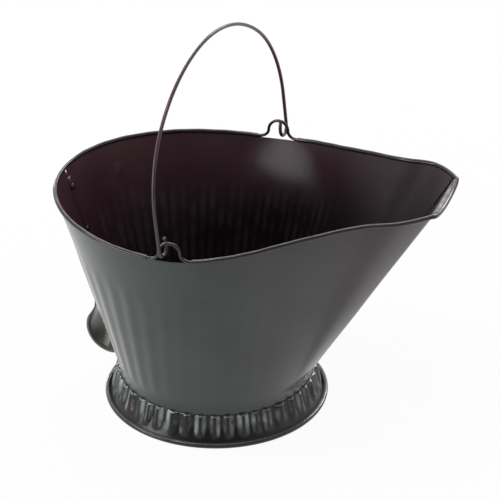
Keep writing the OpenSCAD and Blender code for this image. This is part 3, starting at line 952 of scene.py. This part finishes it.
@dataclass
class BodySheet:
    """The fluted body sheet with its neck, flare, spout and lip."""

    form: PailForm
    flutes: int = 40
    flute_depth: float = 0.9
    flute_reach: float = 0.74
    flute_weakest: float = 0.25
    reach_spread: float = 0.03
    front_ease: float = 0.5
    sweep: float = 6.0
    front_from: float = 148.5
    land: float = 9.0
    land_fade: float = 4.0
    front_fade: float = 30.0
    ease_from: float = 50.0
    ease_span: float = 35.0
    foot_fade: float = 0.07
    top_lead: float = 0.08
    top_fade: float = 0.12
    columns_per_flute: int = 12
    throat_columns: int = 22
    lip_columns: int = 56
    neck_rows: int = 5
    bend_rows: int = 8
    wall_rows: int = 33
    strip_stations: tuple[float, ...] = (0.06, 0.14, 0.35, 0.6, 0.8, 1.0)
    bend: float = 7.5
    roll_in: float = 1.6
    notch_width: float = 4.0
    notch_height: float = 6.0
    notch_span: Pair = (-6.0, 8.0)
    wave: float = 0.28
    # Waves of the sheet: [length over 2 pi along x, y and z, phase, share]
    waves: tuple[tuple[float, ...], ...] = (
        (31, math.inf, 47, 0, 1), (math.inf, 37, -29, 1.3, 1), (19, 19, 23, 0, 0.6))
    dent_at: Triple = (-146.9, 77.1, 223.1)
    dent_r: float = 2.6
    dent_depth: float = 1.8

    def columns(self) -> tuple[Array, Array]:
        """Plan angles of the columns.

        Returns:
            The angles on the neck and at the rim.
        """
        count = int(2 * self.front_from / (360 / self.flutes / self.columns_per_flute))
        a = np.linspace(-self.front_from, self.front_from, count + 1)
        p = a + self.sweep * np.sin(np.radians(a))
        lip = 180.0 - self.form.crease_angle
        throat = np.linspace(p[-1], lip, self.throat_columns + 1)[1:]
        across = np.linspace(lip, 360 - lip, self.lip_columns + 1)[1:]
        back = np.linspace(360 - lip, 360 - p[-1], self.throat_columns + 1)[1:-1]
        front = np.concatenate([throat, across, back])
        ratio = (180 - self.front_from) / (180 - p[-1])
        return np.concatenate([a, 180 - (180 - front) * ratio]), np.concatenate([p, front])

    def ribs(self, a: Array, share: Array) -> Array:
        """How much of the flutes' depth each point gets.

        Args:
            a: Plan angles on the neck, one for each column.
            share: Share of the way up the flare, one for each row.

        Returns:
            A grid of columns by rows.
        """
        rng = np.random.default_rng(SEED)
        b = np.where(a > 180, 360 - a, np.abs(a))
        index = np.round(a * self.flutes / 360).astype(int) % self.flutes
        strength = (1.0 - self.flute_weakest * rng.random(self.flutes))[index]
        top = self.flute_reach + self.reach_spread * (rng.random(self.flutes) - 0.5)[index]
        plan = (smooth((b - self.land) / self.land_fade)
                * smooth((self.front_from - b) / self.front_fade) * strength)
        plan *= 1 - self.front_ease * smooth((b - self.ease_from) / self.ease_span)
        fade = smooth((share[None, :] - top[:, None] + self.top_lead) / self.top_fade)
        return plan[:, None] * (smooth(share[None, :] / self.foot_fade) * (1 - fade))

    def grid(self, a: Array, p: Array) -> tuple[Array, Array]:
        """The plain sheet, from the neck's lower edge to inside the bead.

        Args:
            a: Plan angles of the columns on the neck.
            p: Plan angles of the columns at the rim.

        Returns:
            A grid of columns by rows, and each row's share of the way up the flare.
        """
        form, ar = self.form, np.radians(a)
        foot = np.stack([-form.neck_r * np.cos(ar), form.neck_r * np.sin(ar),
                         np.full_like(ar, form.neck_top)], -1)
        rim, edge = form.rim_point(form.wrap(p)), form.edge_point(form.wrap(p))
        length = np.linalg.norm(rim - foot, axis=-1, keepdims=True)
        up = unit(rim - foot)
        crease = rim - form.crease_drop * up
        rows = [(np.concatenate([foot[:, :2], np.full((len(a), 1), z)], -1), 0.0)
                for z in np.linspace(form.neck_base, form.neck_top - self.bend, self.neck_rows)]
        below, above = foot - np.array([0, 0, self.bend]), foot + self.bend * up
        rows += [((1 - t) ** 2 * below + 2 * t * (1 - t) * foot + t * t * above,
                  0.5 * t * t * self.bend / float(length.mean()))
                 for t in np.linspace(0, 1, self.bend_rows + 1)[1:]]
        first = self.bend / length
        for t in np.linspace(0, 1, self.wall_rows + 1)[1:]:
            at = first + (1 - first) * t
            rows.append((foot + (crease - foot) * at, float(at.mean())))
        strip = edge - crease
        kept = 1 - self.roll_in / np.linalg.norm(strip, axis=-1, keepdims=True)
        rows += [(crease + strip * t * kept, 1.0) for t in self.strip_stations]
        points, share = zip(*rows)
        return np.stack(points, 1), np.array(share)

    def waviness(self, grid: Array) -> Array:
        """Slow unevenness of hand-rolled sheet, and one small dent inside the back.

        Args:
            grid: The sheet's points.

        Returns:
            The offset of each point.
        """
        x, y, z = grid[..., 0], grid[..., 1], grid[..., 2]
        out = unit(np.stack([x, y, np.zeros_like(x)], -1))
        inner = smooth((z - self.form.neck_top) / 40) * smooth((self.form.rim_z - 4 - z) / 30)
        slow = sum(share * np.sin(x / lx + y / ly + z / lz + phase)
                   for lx, ly, lz, phase, share in self.waves)
        away = ((grid - np.array(self.dent_at)) ** 2).sum(-1)
        dent = self.dent_depth * np.exp(-away / (2 * self.dent_r ** 2))
        swing = sum(wave[-1] for wave in self.waves)
        return out * (self.wave * inner * slow / swing - dent)[..., None]

    def cut_notch(self, body: Piece) -> Piece:
        """Cut the small open notch where the seam stops short of the bead.

        Args:
            body: The body.

        Returns:
            The body with its notch.
        """
        half, depth = self.notch_width / 2, self.notch_height
        top = self.form.back_top - self.form.bead_r
        x = float(self.form.back_line(top))
        outline = [(-half, top), (half, top), (0.0, top - depth)]
        points = np.array([[x + dx, y, z] for dx in self.notch_span for y, z in outline])
        faces = [(0, 1, 2), (5, 4, 3), (0, 3, 4, 1), (1, 4, 5, 2), (2, 5, 3, 0)]
        cutter = mesh_object("notch_cutter", points, faces, body.data.materials[0])
        cut = body.modifiers.new("notch", "BOOLEAN")
        cut.operation, cut.object, cut.solver = "DIFFERENCE", cutter, "EXACT"
        freeze(body)
        bpy.data.objects.remove(cutter)
        return body

    def build(self, outside: Finish, inside: Finish, press: ShapeTree) -> Piece:
        """Make the body sheet.

        Args:
            outside: Material of the outside.
            inside: Material of the inside.
            press: The tree of ripple_tree().

        Returns:
            The body as a plain mesh.
        """
        a, p = self.columns()
        grid, rows = self.grid(a, p)
        share = self.ribs(a, rows)
        phase = np.broadcast_to((self.flutes * np.radians(a))[:, None], share.shape)
        # The flutes' flanks carry painted highlights through the attribute below.
        flat = mesh_object(
            "body", grid + self.waviness(grid), grid_faces(len(a), len(rows), True, False), outside,
            {"ripple_phase": phase, "ripple_share": share,
             "flank": np.sin(phase) * np.sqrt(share)})
        body = press.shape(flat, Depth=self.flute_depth * MM, Fullness=1.0, Material=outside)
        body.data.materials.append(inside)
        return self.cut_notch(thicken(body, self.form.sheet, inner_slot=1))


@dataclass
class WiredRim:
    """The rolled bead along the edge, and the wire in it that comes out as two ears."""

    form: PailForm
    step: float = 0.8
    unevenness: float = 0.12
    skin: float = 0.04
    ear_gap: float = 1.5
    lip_points: int = 73
    bead_sides: int = 20
    wire_sides: int = 14

    def ear(self, x: float, side: float) -> Array:
        """An ear: two outward-curving feet and the arch between them.

        Args:
            x: Distance in front of the axis.
            side: -1 or 1.

        Returns:
            Its points, in the direction of growing x.
        """
        f = self.form
        s = np.radians(np.linspace(0, 90, 13)[:-1])
        up = np.stack([-(f.ear_r + f.ear_foot) + f.ear_foot * np.sin(s),
                       f.ear_leg * (1 - np.cos(s))], -1)
        arch = arc_points((0.0, f.ear_leg), f.ear_r, 180, 0, 32)
        profile = np.concatenate([up, arch, up[::-1] * np.array([-1, 1])])
        along = x + profile[:, 0]
        height = f.rim_height(along) + profile[:, 1]
        return np.stack([along, side * f.half_width(along), height], -1)

    def runs(self) -> tuple[Array, Array]:
        """The bead's two runs.

        Returns:
            Plan angles behind the ears, and round the spout.
        """
        f = self.form
        half = f.ear_r + f.ear_foot + self.ear_gap
        near_back, near_front = (-f.angle_at(f.near_ear + way * half) for way in (-1, 1))
        far_back, far_front = (f.angle_at(f.far_ear + way * half) for way in (-1, 1))
        lip = 180.0 - f.crease_angle
        rear = np.arange(near_back, far_back, self.step)
        front = np.concatenate([np.arange(far_front, lip, self.step),
                                np.linspace(lip, 360 - lip, self.lip_points),
                                np.arange(360 - lip + self.step, 360 + near_front, self.step)])
        return np.append(rear, far_back), np.append(front, 360 + near_front)

    def path(self, p: Array) -> Array:
        """The bead's middle line at plan angles, a little uneven as a hand-turned roll is."""
        points = self.form.edge_point(self.form.wrap(p))
        points[:, 2] += self.unevenness * (np.sin(p * 0.61) + np.sin(p * 0.23 + 1.0))
        return points

    def build(self, rolled: Finish, wire: Finish, tree: ShapeTree) -> list[Piece]:
        """Make the bead and the wire.

        Args:
            rolled: Material of the bead.
            wire: Material of the wire.
            tree: The tree of wire_tree().

        Returns:
            The rear bead, the front bead and the wire.
        """
        f = self.form
        rear, front = (self.path(p) for p in self.runs())
        near, far = self.ear(f.near_ear, -1.0), self.ear(f.far_ear, 1.0)
        beads = [wire_object(name, line, f.bead_r - self.skin, rolled, tree, self.bead_sides)
                 for name, line in (("rim_bead_back", rear), ("rim_bead_front", front))]
        loop = np.concatenate([rear, far, front, near[::-1]])
        return beads + [wire_object("rim_wire_and_ears", loop, f.wire_r, wire, tree,
                                    self.wire_sides, closed=True)]


@dataclass
class Foot:
    """The pleated skirt, its rolled hem and wire, and the pan above them."""

    form: PailForm
    pleats: int = 45
    pleat_depth: float = 3.8
    pleat_fullness: float = 1.2
    pleat_weakest: float = 0.22
    # Weakest painted highlight on the pleats' flanks, as a share of the strongest.
    faintest_flank_highlight: float = 0.45
    columns_per_pleat: int = 16
    stray: float = 0.45
    # How the pleats stray along the ring: [waves round it, phase, share]
    stray_waves: tuple[Triple, ...] = ((7, 1.0, 1.0), (11, 2.6, 1.0), (16, 0.0, 0.8))
    hem_out: float = 130.0
    hem_size: float = 5.2
    hem_corner: float = 2.1
    hem_squareness: float = 1.6
    hem_columns: int = 300
    pan_z: float = 29.0
    pan_corner: float = 2.5
    pan_rings: int = 11
    pan_columns: int = 180
    # Skirt's outside from the neck to the hem: [radius in a valley, height, share of the pleats]
    stations: tuple[Triple, ...] = (
        (113.35, 34.0, 0.04), (113.45, 33.5, 0.42), (113.65, 32.7, 0.82), (114.0, 31.4, 0.98),
        (114.6, 29.2, 1.0), (115.3, 26.4, 0.99), (116.1, 23.4, 0.96), (116.9, 20.4, 0.90),
        (117.9, 17.6, 0.78), (119.1, 15.0, 0.60), (120.3, 12.6, 0.40), (121.3, 10.4, 0.22),
        (122.3, 8.2, 0.08), (123.4, 6.0, 0.0), (124.6, 4.2, 0.0), (125.6, 3.2, 0.0))

    def build_skirt(self, finish: Finish, press: ShapeTree) -> Piece:
        """Make the pleated skirt.

        Args:
            finish: The material.
            press: The tree of ripple_tree().

        Returns:
            The skirt.
        """
        section = spline(np.array(self.stations), 3)
        count = self.pleats * self.columns_per_pleat
        w = np.linspace(0, 2 * math.pi, count, endpoint=False)
        rng = np.random.default_rng(SEED + 1)
        uneven = 1 - self.pleat_weakest * np.repeat(rng.random(self.pleats), self.columns_per_pleat)
        uneven = np.roll(uneven, -self.columns_per_pleat // 2)
        share = uneven[:, None] * np.clip(section[None, :, 2], 0.0, 1.0)
        stray = self.stray * sum(part * np.sin(n * w + start)
                                 for n, start, part in self.stray_waves)
        phase = np.broadcast_to((self.pleats * w + stray)[:, None], share.shape)
        # Each pleat's flanks get painted highlights of random strength, carried by the attribute
        # below.
        flanks = 2 * self.pleats
        gains = self.faintest_flank_highlight + (1 - self.faintest_flank_highlight) * rng.random(flanks)
        gain = gains[np.floor(phase / math.pi).astype(int) % flanks]
        skirt = mesh_object(
            "pleated_skirt", revolved(section, w), grid_faces(count, len(section), True, False),
            finish, {"ripple_phase": phase, "ripple_share": share,
                     "flank": np.sin(phase) * np.sqrt(share) * gain})
        skirt = press.shape(skirt, Depth=self.pleat_depth * MM, Fullness=self.pleat_fullness,
                            Material=finish)
        return thicken(skirt, self.form.sheet)

    def build_hem(self, finish: Finish) -> Piece:
        """Make the rolled hem, flat where it stands.

        Args:
            finish: The material.

        Returns:
            The hem.
        """
        r, corner = self.hem_size / 2, self.hem_corner
        w = np.radians(np.arange(0, 360, 12))
        out, up = (corner * turn + (r - corner) * np.clip(self.hem_squareness * turn, -1, 1)
                   for turn in (np.cos(w), np.sin(w)))
        section = np.stack([self.hem_out - r + out, r + up], -1)
        return lathe("foot_hem_roll", section, self.hem_columns, finish, True)

    def build_pan(self, finish: Finish) -> Piece:
        """Make the pan: a flat disc with a rounded edge and a flange down into the neck.

        Args:
            finish: The material.

        Returns:
            The pan.
        """
        form, corner, t = self.form, self.pan_corner, self.form.sheet
        edge = form.neck_r - form.sheet - 2 * form.fit
        middle = (edge - corner, self.pan_z - corner)
        top, under = (arc_points(middle, r, 90, 0, 8) for r in (corner, corner - t))
        rings = np.linspace(0.0, edge - corner, self.pan_rings + 1)[:-1]
        upper, lower = (np.stack([rings, np.full_like(rings, z)], -1)
                        for z in (self.pan_z, self.pan_z - t))
        flange = [[edge, form.neck_base], [edge - t, form.neck_base]]
        outline = np.concatenate([upper, top, flange, under[::-1], lower[::-1]])
        return lathe("ash_pan", outline[::-1], self.pan_columns, finish, False)


@dataclass
class BackSeam:
    """The folded seam up the inside of the back."""

    form: PailForm
    width: float = 8.0
    height: float = 1.4
    low_z: float = 45.0
    high_z: float = 248.0
    middle_rows: int = 30

    def build(self, finish: Finish) -> Piece:
        """Make the seam: a flat fold with rounded long edges and sloped ends.

        Args:
            finish: The material.

        Returns:
            The seam.
        """
        half, h, low, high = self.width / 2, self.height, self.low_z, self.high_z
        gap = self.form.sheet + self.form.sag(half) + 2 * self.form.fit
        rise = np.array([[half, -0.5], [half - 0.2, h * 0.15], [half - 0.7, h * 0.55],
                         [half - 1.5, h * 0.88], [half - 2.6, h]])
        section = np.concatenate([rise * [-1, 1], rise[::-1]])
        heights = [low, low + 1.5, *np.linspace(low + 6, high - 6, self.middle_rows), high - 1.5,
                   high]
        grid = np.array([[self.form.on_back(y, z, -gap - n * min(1.0, 0.35 + min(z - low, high - z)
                                                                 / 2.3)) for y, n in section]
                         for z in heights])
        count = len(section)
        faces = [list(f) for f in grid_faces(len(grid), count, False, True)]
        faces += [list(range(count))[::-1], [(len(grid) - 1) * count + i for i in range(count)]]
        return mesh_object("back_seam_fold", grid, faces, finish)


@dataclass(frozen=True)
class RivetGroup:
    """Rivets of one kind on the back wall.

    Their places are [y, z]; inner and outer are how far the seats of their heads lie from the
    wall's outside.
    """

    name: str
    node: str
    places: tuple[Pair, ...]
    inner: float
    outer: float


@dataclass
class TippingHandle:
    """The bent strap with its broad, curled grip, and the rivets of the back."""

    form: PailForm
    grip_w: float = 46.0
    tab_w: float = 24.0
    thickness: float = 1.2
    grip_out: float = 5.0
    low_z: float = 40.0
    shoulder_z: float = 87.0
    leave_z: float = 140.0
    upper_z: float = 176.0
    lower_z: float = 68.0
    curl_r: float = 1.4
    tab_curl_r: float = 0.15
    curl_turn: float = 250.0
    grip_end: int = 264
    rivet_d: float = 4.0
    rivet_inset: float = 0.4
    head_r: float = 3.6
    head_h: float = 1.8
    head_rim: float = 0.12
    top_rivet_z: float = 166.0
    bottom_rivet_z: float = 58.0
    seam_rivet_zs: Pair = (236.0, 184.0)

    def line(self) -> Array:
        """Side outline of the strap's middle line, from the upper tab to the lower one.

        Returns:
            Points [distance from the axis, height].
        """
        f = self.form
        off = self.thickness / 2 + f.fit

        def wall(z: float) -> list[float]:
            """Point of the strap's middle where it lies on the wall."""
            return [float(f.back_line(z)) - off / math.cos(f.back_tilt), z]

        plumb, neck = wall(self.leave_z)[0], float(f.back_line(f.neck_top))
        grip = plumb - self.grip_out
        arc = min(self.shoulder_z - 13 - self.low_z,
                  (neck - 11 - grip) / (1 + math.cos(math.radians(self.grip_end))))
        underside = [[grip + arc * (1 + math.cos(w)), self.low_z + arc * (1 + math.sin(w))]
                     for w in map(math.radians, range(180, self.grip_end + 1, 12))]
        knots = [wall(self.upper_z), wall(self.leave_z + 14), wall(self.leave_z + 6),
                 [plumb - 0.2, self.leave_z - 4], [plumb - 0.4, self.leave_z - 25],
                 [plumb - 0.6, self.shoulder_z + 3],
                 [plumb + (grip - plumb) * 0.35, self.shoulder_z - 3],
                 [plumb + (grip - plumb) * 0.8, self.shoulder_z - 10],
                 *underside, [neck - 8, self.low_z + 0.4], [neck - 3.5, self.low_z + 1.6],
                 wall(self.low_z + 7), wall(self.low_z + 14), wall(self.lower_z)]
        return spline(np.array(knots), 5)

    def broadness(self, line: Array) -> Array:
        """How far the strap is widened to the grip along its line, from 0 to 1.

        Args:
            line: Points of line().

        Returns:
            One number for each point.
        """
        z = line[:, 1]
        on_wall = line[:, 0] > -self.form.neck_r - 14
        narrow = np.where(np.arange(len(z)) > len(z) * 0.45,
                          smooth((z - self.low_z - 3) / 9) * on_wall, 0.0)
        return smooth((self.shoulder_z + 4 - z) / 14) * (1 - narrow)

    def build(self, finish: Finish) -> Piece:
        """Make the strap, with its long edges curled under.

        Args:
            finish: The material.

        Returns:
            The strap.
        """
        line = self.line()
        along = unit(np.gradient(line, axis=0))
        normal = np.stack([-along[:, 1], along[:, 0]], -1)
        broad = self.broadness(line)
        width = self.tab_w + (self.grip_w - self.tab_w) * broad
        curl = self.tab_curl_r + (self.curl_r - self.tab_curl_r) * broad
        flat = width / 2 - curl - self.thickness / 2
        left = [(-(flat + curl * math.sin(w)), -curl * (1 - math.cos(w)))
                for w in np.radians(np.linspace(self.curl_turn, 0, 12))]
        middle = [(part * flat, np.zeros_like(flat)) for part in np.linspace(-0.8, 0.8, 9)]
        rows = left + middle + [(-y, n) for y, n in left[::-1]]
        grid = np.stack([np.stack([line[:, 0] + n * normal[:, 0], y,
                                   line[:, 1] + n * normal[:, 1]], -1) for y, n in rows], 1)
        faces = grid_faces(*grid.shape[:2], False, False)
        return thicken(mesh_object("tipping_handle", grid, faces, finish), self.thickness,
                       offset=0.0)

    def rivet_groups(self) -> list[RivetGroup]:
        """The rivets of the handle's tabs and of the seam.

        Returns:
            One group for each CAD node.
        """
        f = self.form
        y = self.tab_w / 2 - self.head_r - self.rivet_inset
        inner, outer = f.sheet + f.sag(y + self.head_r) + f.fit, self.thickness + 2 * f.fit
        seam = f.sheet + (f.sag(BackSeam.width / 2) + BackSeam.height + 3 * f.fit)
        tabs = [RivetGroup(name, node, ((-y, z), (y, z)), inner, outer) for name, node, z in (
            ("top_rivets", "handle_top_rivets", self.top_rivet_z),
            ("bottom_rivets", "handle_bottom_rivets", self.bottom_rivet_z))]
        return tabs + [RivetGroup("seam_rivet_heads", "seam_rivets",
                                  tuple((0.0, z) for z in self.seam_rivet_zs), seam, f.fit)]

    def rivet_model(self, group: RivetGroup, finish: Finish) -> Piece:
        """One rivet along Z, with a domed head on each seat.

        Args:
            group: The group that it is for.
            finish: The material.

        Returns:
            The rivet, to be set on points and then removed.
        """
        r, shank, w = self.head_r, self.rivet_d / 2, np.radians(np.linspace(90, 0, 8))
        rise = self.head_rim + (1 - self.head_rim) * np.sin(w)
        dome = np.stack([r * np.cos(w), self.head_h * rise], -1)
        dome[0, 0] = 0.0
        middle = [[r, group.outer], [shank, group.outer], [shank, -group.inner],
                  [r, -group.inner]]
        outline = np.concatenate([dome + [0, group.outer], middle,
                                  (dome * [1, -1] - [0, group.inner])[::-1]])
        return lathe("rivet_model", outline[::-1], 24, finish, False)

    def build_rivets(self, finish: Finish, tree: ShapeTree) -> list[tuple[Piece, str]]:
        """Set the rivets.

        Args:
            finish: The material.
            tree: The tree of rivet_tree().

        Returns:
            Each group of rivets with the CAD node that it stands for.
        """
        t, made = self.form.back_tilt, []
        for group in self.rivet_groups():
            model = self.rivet_model(group, finish)
            points = np.array([self.form.on_back(y, z) for y, z in group.places])
            seats = mesh_object(group.name, points, [], finish)
            axes = seats.data.attributes.new("rivet_axis", "FLOAT_VECTOR", "POINT")
            axes.data.foreach_set("vector", [-math.cos(t), 0.0, -math.sin(t)] * len(points))
            made.append((tree.shape(seats, Rivet=model, Material=finish), group.node))
            bpy.data.objects.remove(model)
        return made


@dataclass
class Bail:
    """The swinging wire bail with a hook at each end."""

    form: PailForm
    wire_r: float = 2.1
    height: float = 185.0
    top_r: float = 187.0
    shoulder_r: float = 129.0
    lean: float = 6.0
    tail: float = 10.0
    tail_lean: float = 2.8
    hook_w: float = 12.8
    hook_angle: float = 30.0
    ear_play: float = 0.6
    skin: float = 0.05
    sides: int = 18

    def outline(self, s: float, u: float, half_hook: float) -> Array:
        """The bail in its own plane.

        Args:
            s: Half the distance between the pivots.
            u: Height of the hooks' centres over the pivots.
            half_hook: Radius of the hooks' middle line.

        Returns:
            Points [across, up] from one hook's tail to the other's.
        """
        shoulder_s, top_u = s + half_hook - self.shoulder_r, self.height - self.top_r
        shoulder_u = top_u + math.sqrt((self.top_r - self.shoulder_r) ** 2 - shoulder_s ** 2)
        turn = math.degrees(math.atan2(shoulder_u - top_u, shoulder_s))
        t = np.linspace(1, 0.06, 12)
        half = np.concatenate([
            np.stack([s - half_hook + self.tail_lean * t ** 2, u + self.tail * t], -1),
            arc_points((s, u), half_hook, 180, 360, 24),
            np.stack([np.full(8, s + half_hook), np.linspace(u + 2, shoulder_u - 3, 8)], -1),
            arc_points((shoulder_s, shoulder_u), self.shoulder_r, 0, turn, 36),
            arc_points((0.0, top_u), self.top_r, turn, 90, 20)[1:]])
        return np.concatenate([half, half[-2::-1] * np.array([-1, 1])])

    def path(self) -> Array:
        """The bail's middle line in the part's frame.

        Returns:
            Points from the one hook's tail to the other's.
        """
        f = self.form
        near, far = f.ear_centre(f.near_ear, -1.0), f.ear_centre(f.far_ear, 1.0)
        across = far - near
        s = across[1] / 2
        half_hook = self.hook_w / 2 + self.wire_r
        run = f.ear_r - f.wire_r - self.wire_r - self.ear_play
        v = run * math.cos(math.radians(self.hook_angle))
        u = half_hook - run * math.sin(math.radians(self.hook_angle))
        flat = self.outline(s, u, half_hook)
        points = np.stack([np.zeros(len(flat)), flat[:, 0], flat[:, 1]], -1)
        for axis, angle in (("z", -math.degrees(math.atan(v / s))), ("y", -self.lean),
                            ("z", -math.degrees(math.atan(across[0] / across[1])))):
            points = turned(points, axis, angle)
        return points + (near + far) / 2

    def build(self, finish: Finish, tree: ShapeTree) -> Piece:
        """Make the bail."""
        return wire_object("bail_wire", self.path(), self.wire_r - self.skin, finish, tree,
                           self.sides)


# ---------------------------------------------------------------- studio


@dataclass(frozen=True)
class Studio:
    """Camera, floor, world and lamps, in metres."""

    target: Triple = (0.01138, 0.08718, 0.14044)
    azimuth: float = 18.786
    elevation: float = 29.32
    distance: float = 3.0892
    lens: float = 190.05
    sensor: float = 36.0
    clip_end: float = 50.0
    floor_size: float = 12.0
    floor_white: float = 0.95
    floor_glow: float = 0.93
    floor_fade: Pair = (0.2, 0.36)
    world_level: float = 0.62
    room_side: Triple = (0.25, -0.968, 0.0)
    room_span: Pair = (0.25, 0.85)
    room_shade: float = 0.8
    ceiling_span: Pair = (0.2, 0.5)
    ceiling_shade: float = 0.55
    # Lamps: name, place, width and watts
    lamps: tuple[tuple[str, Triple, float, float], ...] = (
        ("left_box", (-1.8, -0.4, 1.75), 0.45, 6.5),
        ("low_left_box", (-1.65, -1.6, 0.6), 1.1, 17.0),
        ("edge_box", (-1.5, 1.7, 0.37), 0.7, 11.0),
        ("back_box", (0.45, 1.9, 1.35), 0.9, 9.5),
        ("top_box", (-0.7, -0.5, 2.3), 0.5, 8.0))

    @staticmethod
    def _aim(obj: Piece, direction: Vector) -> None:
        """Turn a camera or lamp to look along a direction."""
        obj.rotation_euler = direction.to_track_quat("-Z", "Y").to_euler()

    @staticmethod
    def _rays(bench: Bench) -> list[Wire]:
        """Flags of the rays from the camera, by way of gloss and through glass."""
        path = bench.node("ShaderNodeLightPath")
        return [Wire(bench, path.outputs[f"Is {kind} Ray"])
                for kind in ("Camera", "Glossy", "Transmission")]

    def camera(self) -> None:
        """Make the camera at the photograph's viewing angle."""
        az, el = math.radians(self.azimuth), math.radians(self.elevation)
        away = Vector((math.sin(az) * math.cos(el), -math.cos(az) * math.cos(el), math.sin(el)))
        data = bpy.data.cameras.new("camera")
        data.lens, data.sensor_width, data.sensor_fit = self.lens, self.sensor, "HORIZONTAL"
        data.clip_end = self.clip_end
        made = placed("camera", data)
        made.location = Vector(self.target) + self.distance * away
        self._aim(made, -away)
        bpy.context.scene.camera = made

    def floor(self) -> None:
        """Make the pale floor, which keeps the object's shadow."""
        half = self.floor_size / 2
        mesh = bpy.data.meshes.new("floor")
        corners = [(-half, -half, 0), (half, -half, 0), (half, half, 0), (-half, half, 0)]
        mesh.from_pydata(corners, [], [(0, 1, 2, 3)])
        material = bpy.data.materials.new("studio_floor")
        bench = Bench.cleared(material)
        matt = bench.wire("ShaderNodeBsdfDiffuse", {"Color": (self.floor_white,) * 3 + (1,)})
        glow = bench.wire("ShaderNodeEmission", {"Color": (1, 1, 1, 1), "Strength": 1.0})
        camera, glossy, through = self._rays(bench)
        ahead = bench.measure("DOT_PRODUCT", bench.coordinate("Object"), self.room_side)
        shade = bench.ramp(ahead, *self.floor_fade) * self.room_shade
        seen = camera + (glossy + through) * (1.0 - shade)
        shader = bench.wire("ShaderNodeMixShader", {
            0: seen.least(1.0) * self.floor_glow, 1: matt, 2: glow})
        bench.node("ShaderNodeOutputMaterial", {"Surface": shader})
        mesh.materials.append(material)
        made = placed("floor", mesh)

    def world(self) -> None:
        """Make the plain pale world; gloss also sees a darker room on the camera's side."""
        world = bpy.data.worlds.new("studio")
        bench = Bench.cleared(world)
        camera, glossy, through = self._rays(bench)
        direction = bench.coordinate("Generated")
        overhead = bench.ramp(bench.share(direction, "Z"), *self.ceiling_span)
        to_room = bench.measure("DOT_PRODUCT", direction, self.room_side)
        front = bench.ramp(to_room, *self.room_span) * self.room_shade
        room = front.most(overhead * self.ceiling_shade)
        gap = 1.0 - self.world_level
        level = self.world_level + camera * gap + (glossy + through) * (gap - room)
        back = bench.wire("ShaderNodeBackground", {"Color": (1, 1, 1, 1), "Strength": level})
        bench.node("ShaderNodeOutputWorld", {"Surface": back})
        bpy.context.scene.world = world

    def lamp(self, name: str, place: Triple, size: float, power: float) -> None:
        """Make one soft lamp that faces the object.

        Args:
            name: The lamp's name.
            place: Where it stands.
            size: Its width.
            power: In watts.
        """
        data = bpy.data.lights.new(name, "AREA")
        data.shape, data.size, data.energy = "SQUARE", size, power
        made = placed(name, data)
        made.location = place
        self._aim(made, Vector(self.target) - Vector(place))

    def build(self) -> None:
        """Make the whole studio."""
        bpy.context.scene.view_settings.view_transform = "Standard"
        self.camera()
        self.floor()
        self.world()
        for lamp in self.lamps:
            self.lamp(*lamp)


# ---------------------------------------------------------------- assembly


def build_pail(form: PailForm) -> None:
    """Make every piece, those fixed to the pail and the bail that swings on it.

    Args:
        form: The pail's sizes and curves.
    """
    press, wires, rivets = ripple_tree(), wire_tree(), rivet_tree()
    rolled, wire = ROLLED.make(), WIRE_BLACK.make()
    inside, handle_finish = INSIDE.make(), HANDLE.make()
    dress(BodySheet(form).build(OUTSIDE.make(), inside, press), "pail", Slot.ENAMEL, "body_shell")
    back, front, loop = WiredRim(form).build(rolled, wire, wires)
    dress(back, "pail", Slot.ENAMEL, "rim_bead")
    dress(front, "pail", Slot.ENAMEL)
    dress(loop, "pail", Slot.WIRE, "rim_wire")
    foot = Foot(form)
    dress(foot.build_skirt(PLEATED.make(), press), "pail", Slot.ENAMEL, "foot_skirt")
    dress(foot.build_hem(HEM.make()), "pail", Slot.ENAMEL, "foot_hem")
    dress(foot.build_pan(PAN.make()), "pail", Slot.ENAMEL, "bottom_pan")
    handle = TippingHandle(form)
    dress(handle.build(handle_finish), "pail", Slot.ENAMEL, "rear_handle")
    for group, node in handle.build_rivets(rolled, rivets):
        dress(group, "pail", Slot.ENAMEL, node)
    dress(BackSeam(form).build(inside), "pail", Slot.ENAMEL, "back_seam")
    hem_wire = frame["nodes"]["foot_wire"]
    hem_wire.data.materials.clear()
    hem_wire.data.materials.append(STEEL.make())
    dress(Bail(form).build(BAIL.make(), wires), "bail", Slot.WIRE, "bail")


def main() -> None:
    """Build the studio and the scuttle."""
    logging.basicConfig(level=logging.INFO, format="%(name)s: %(message)s")
    Studio().build()
    build_pail(PailForm())


if __name__ == "__main__":
    main()
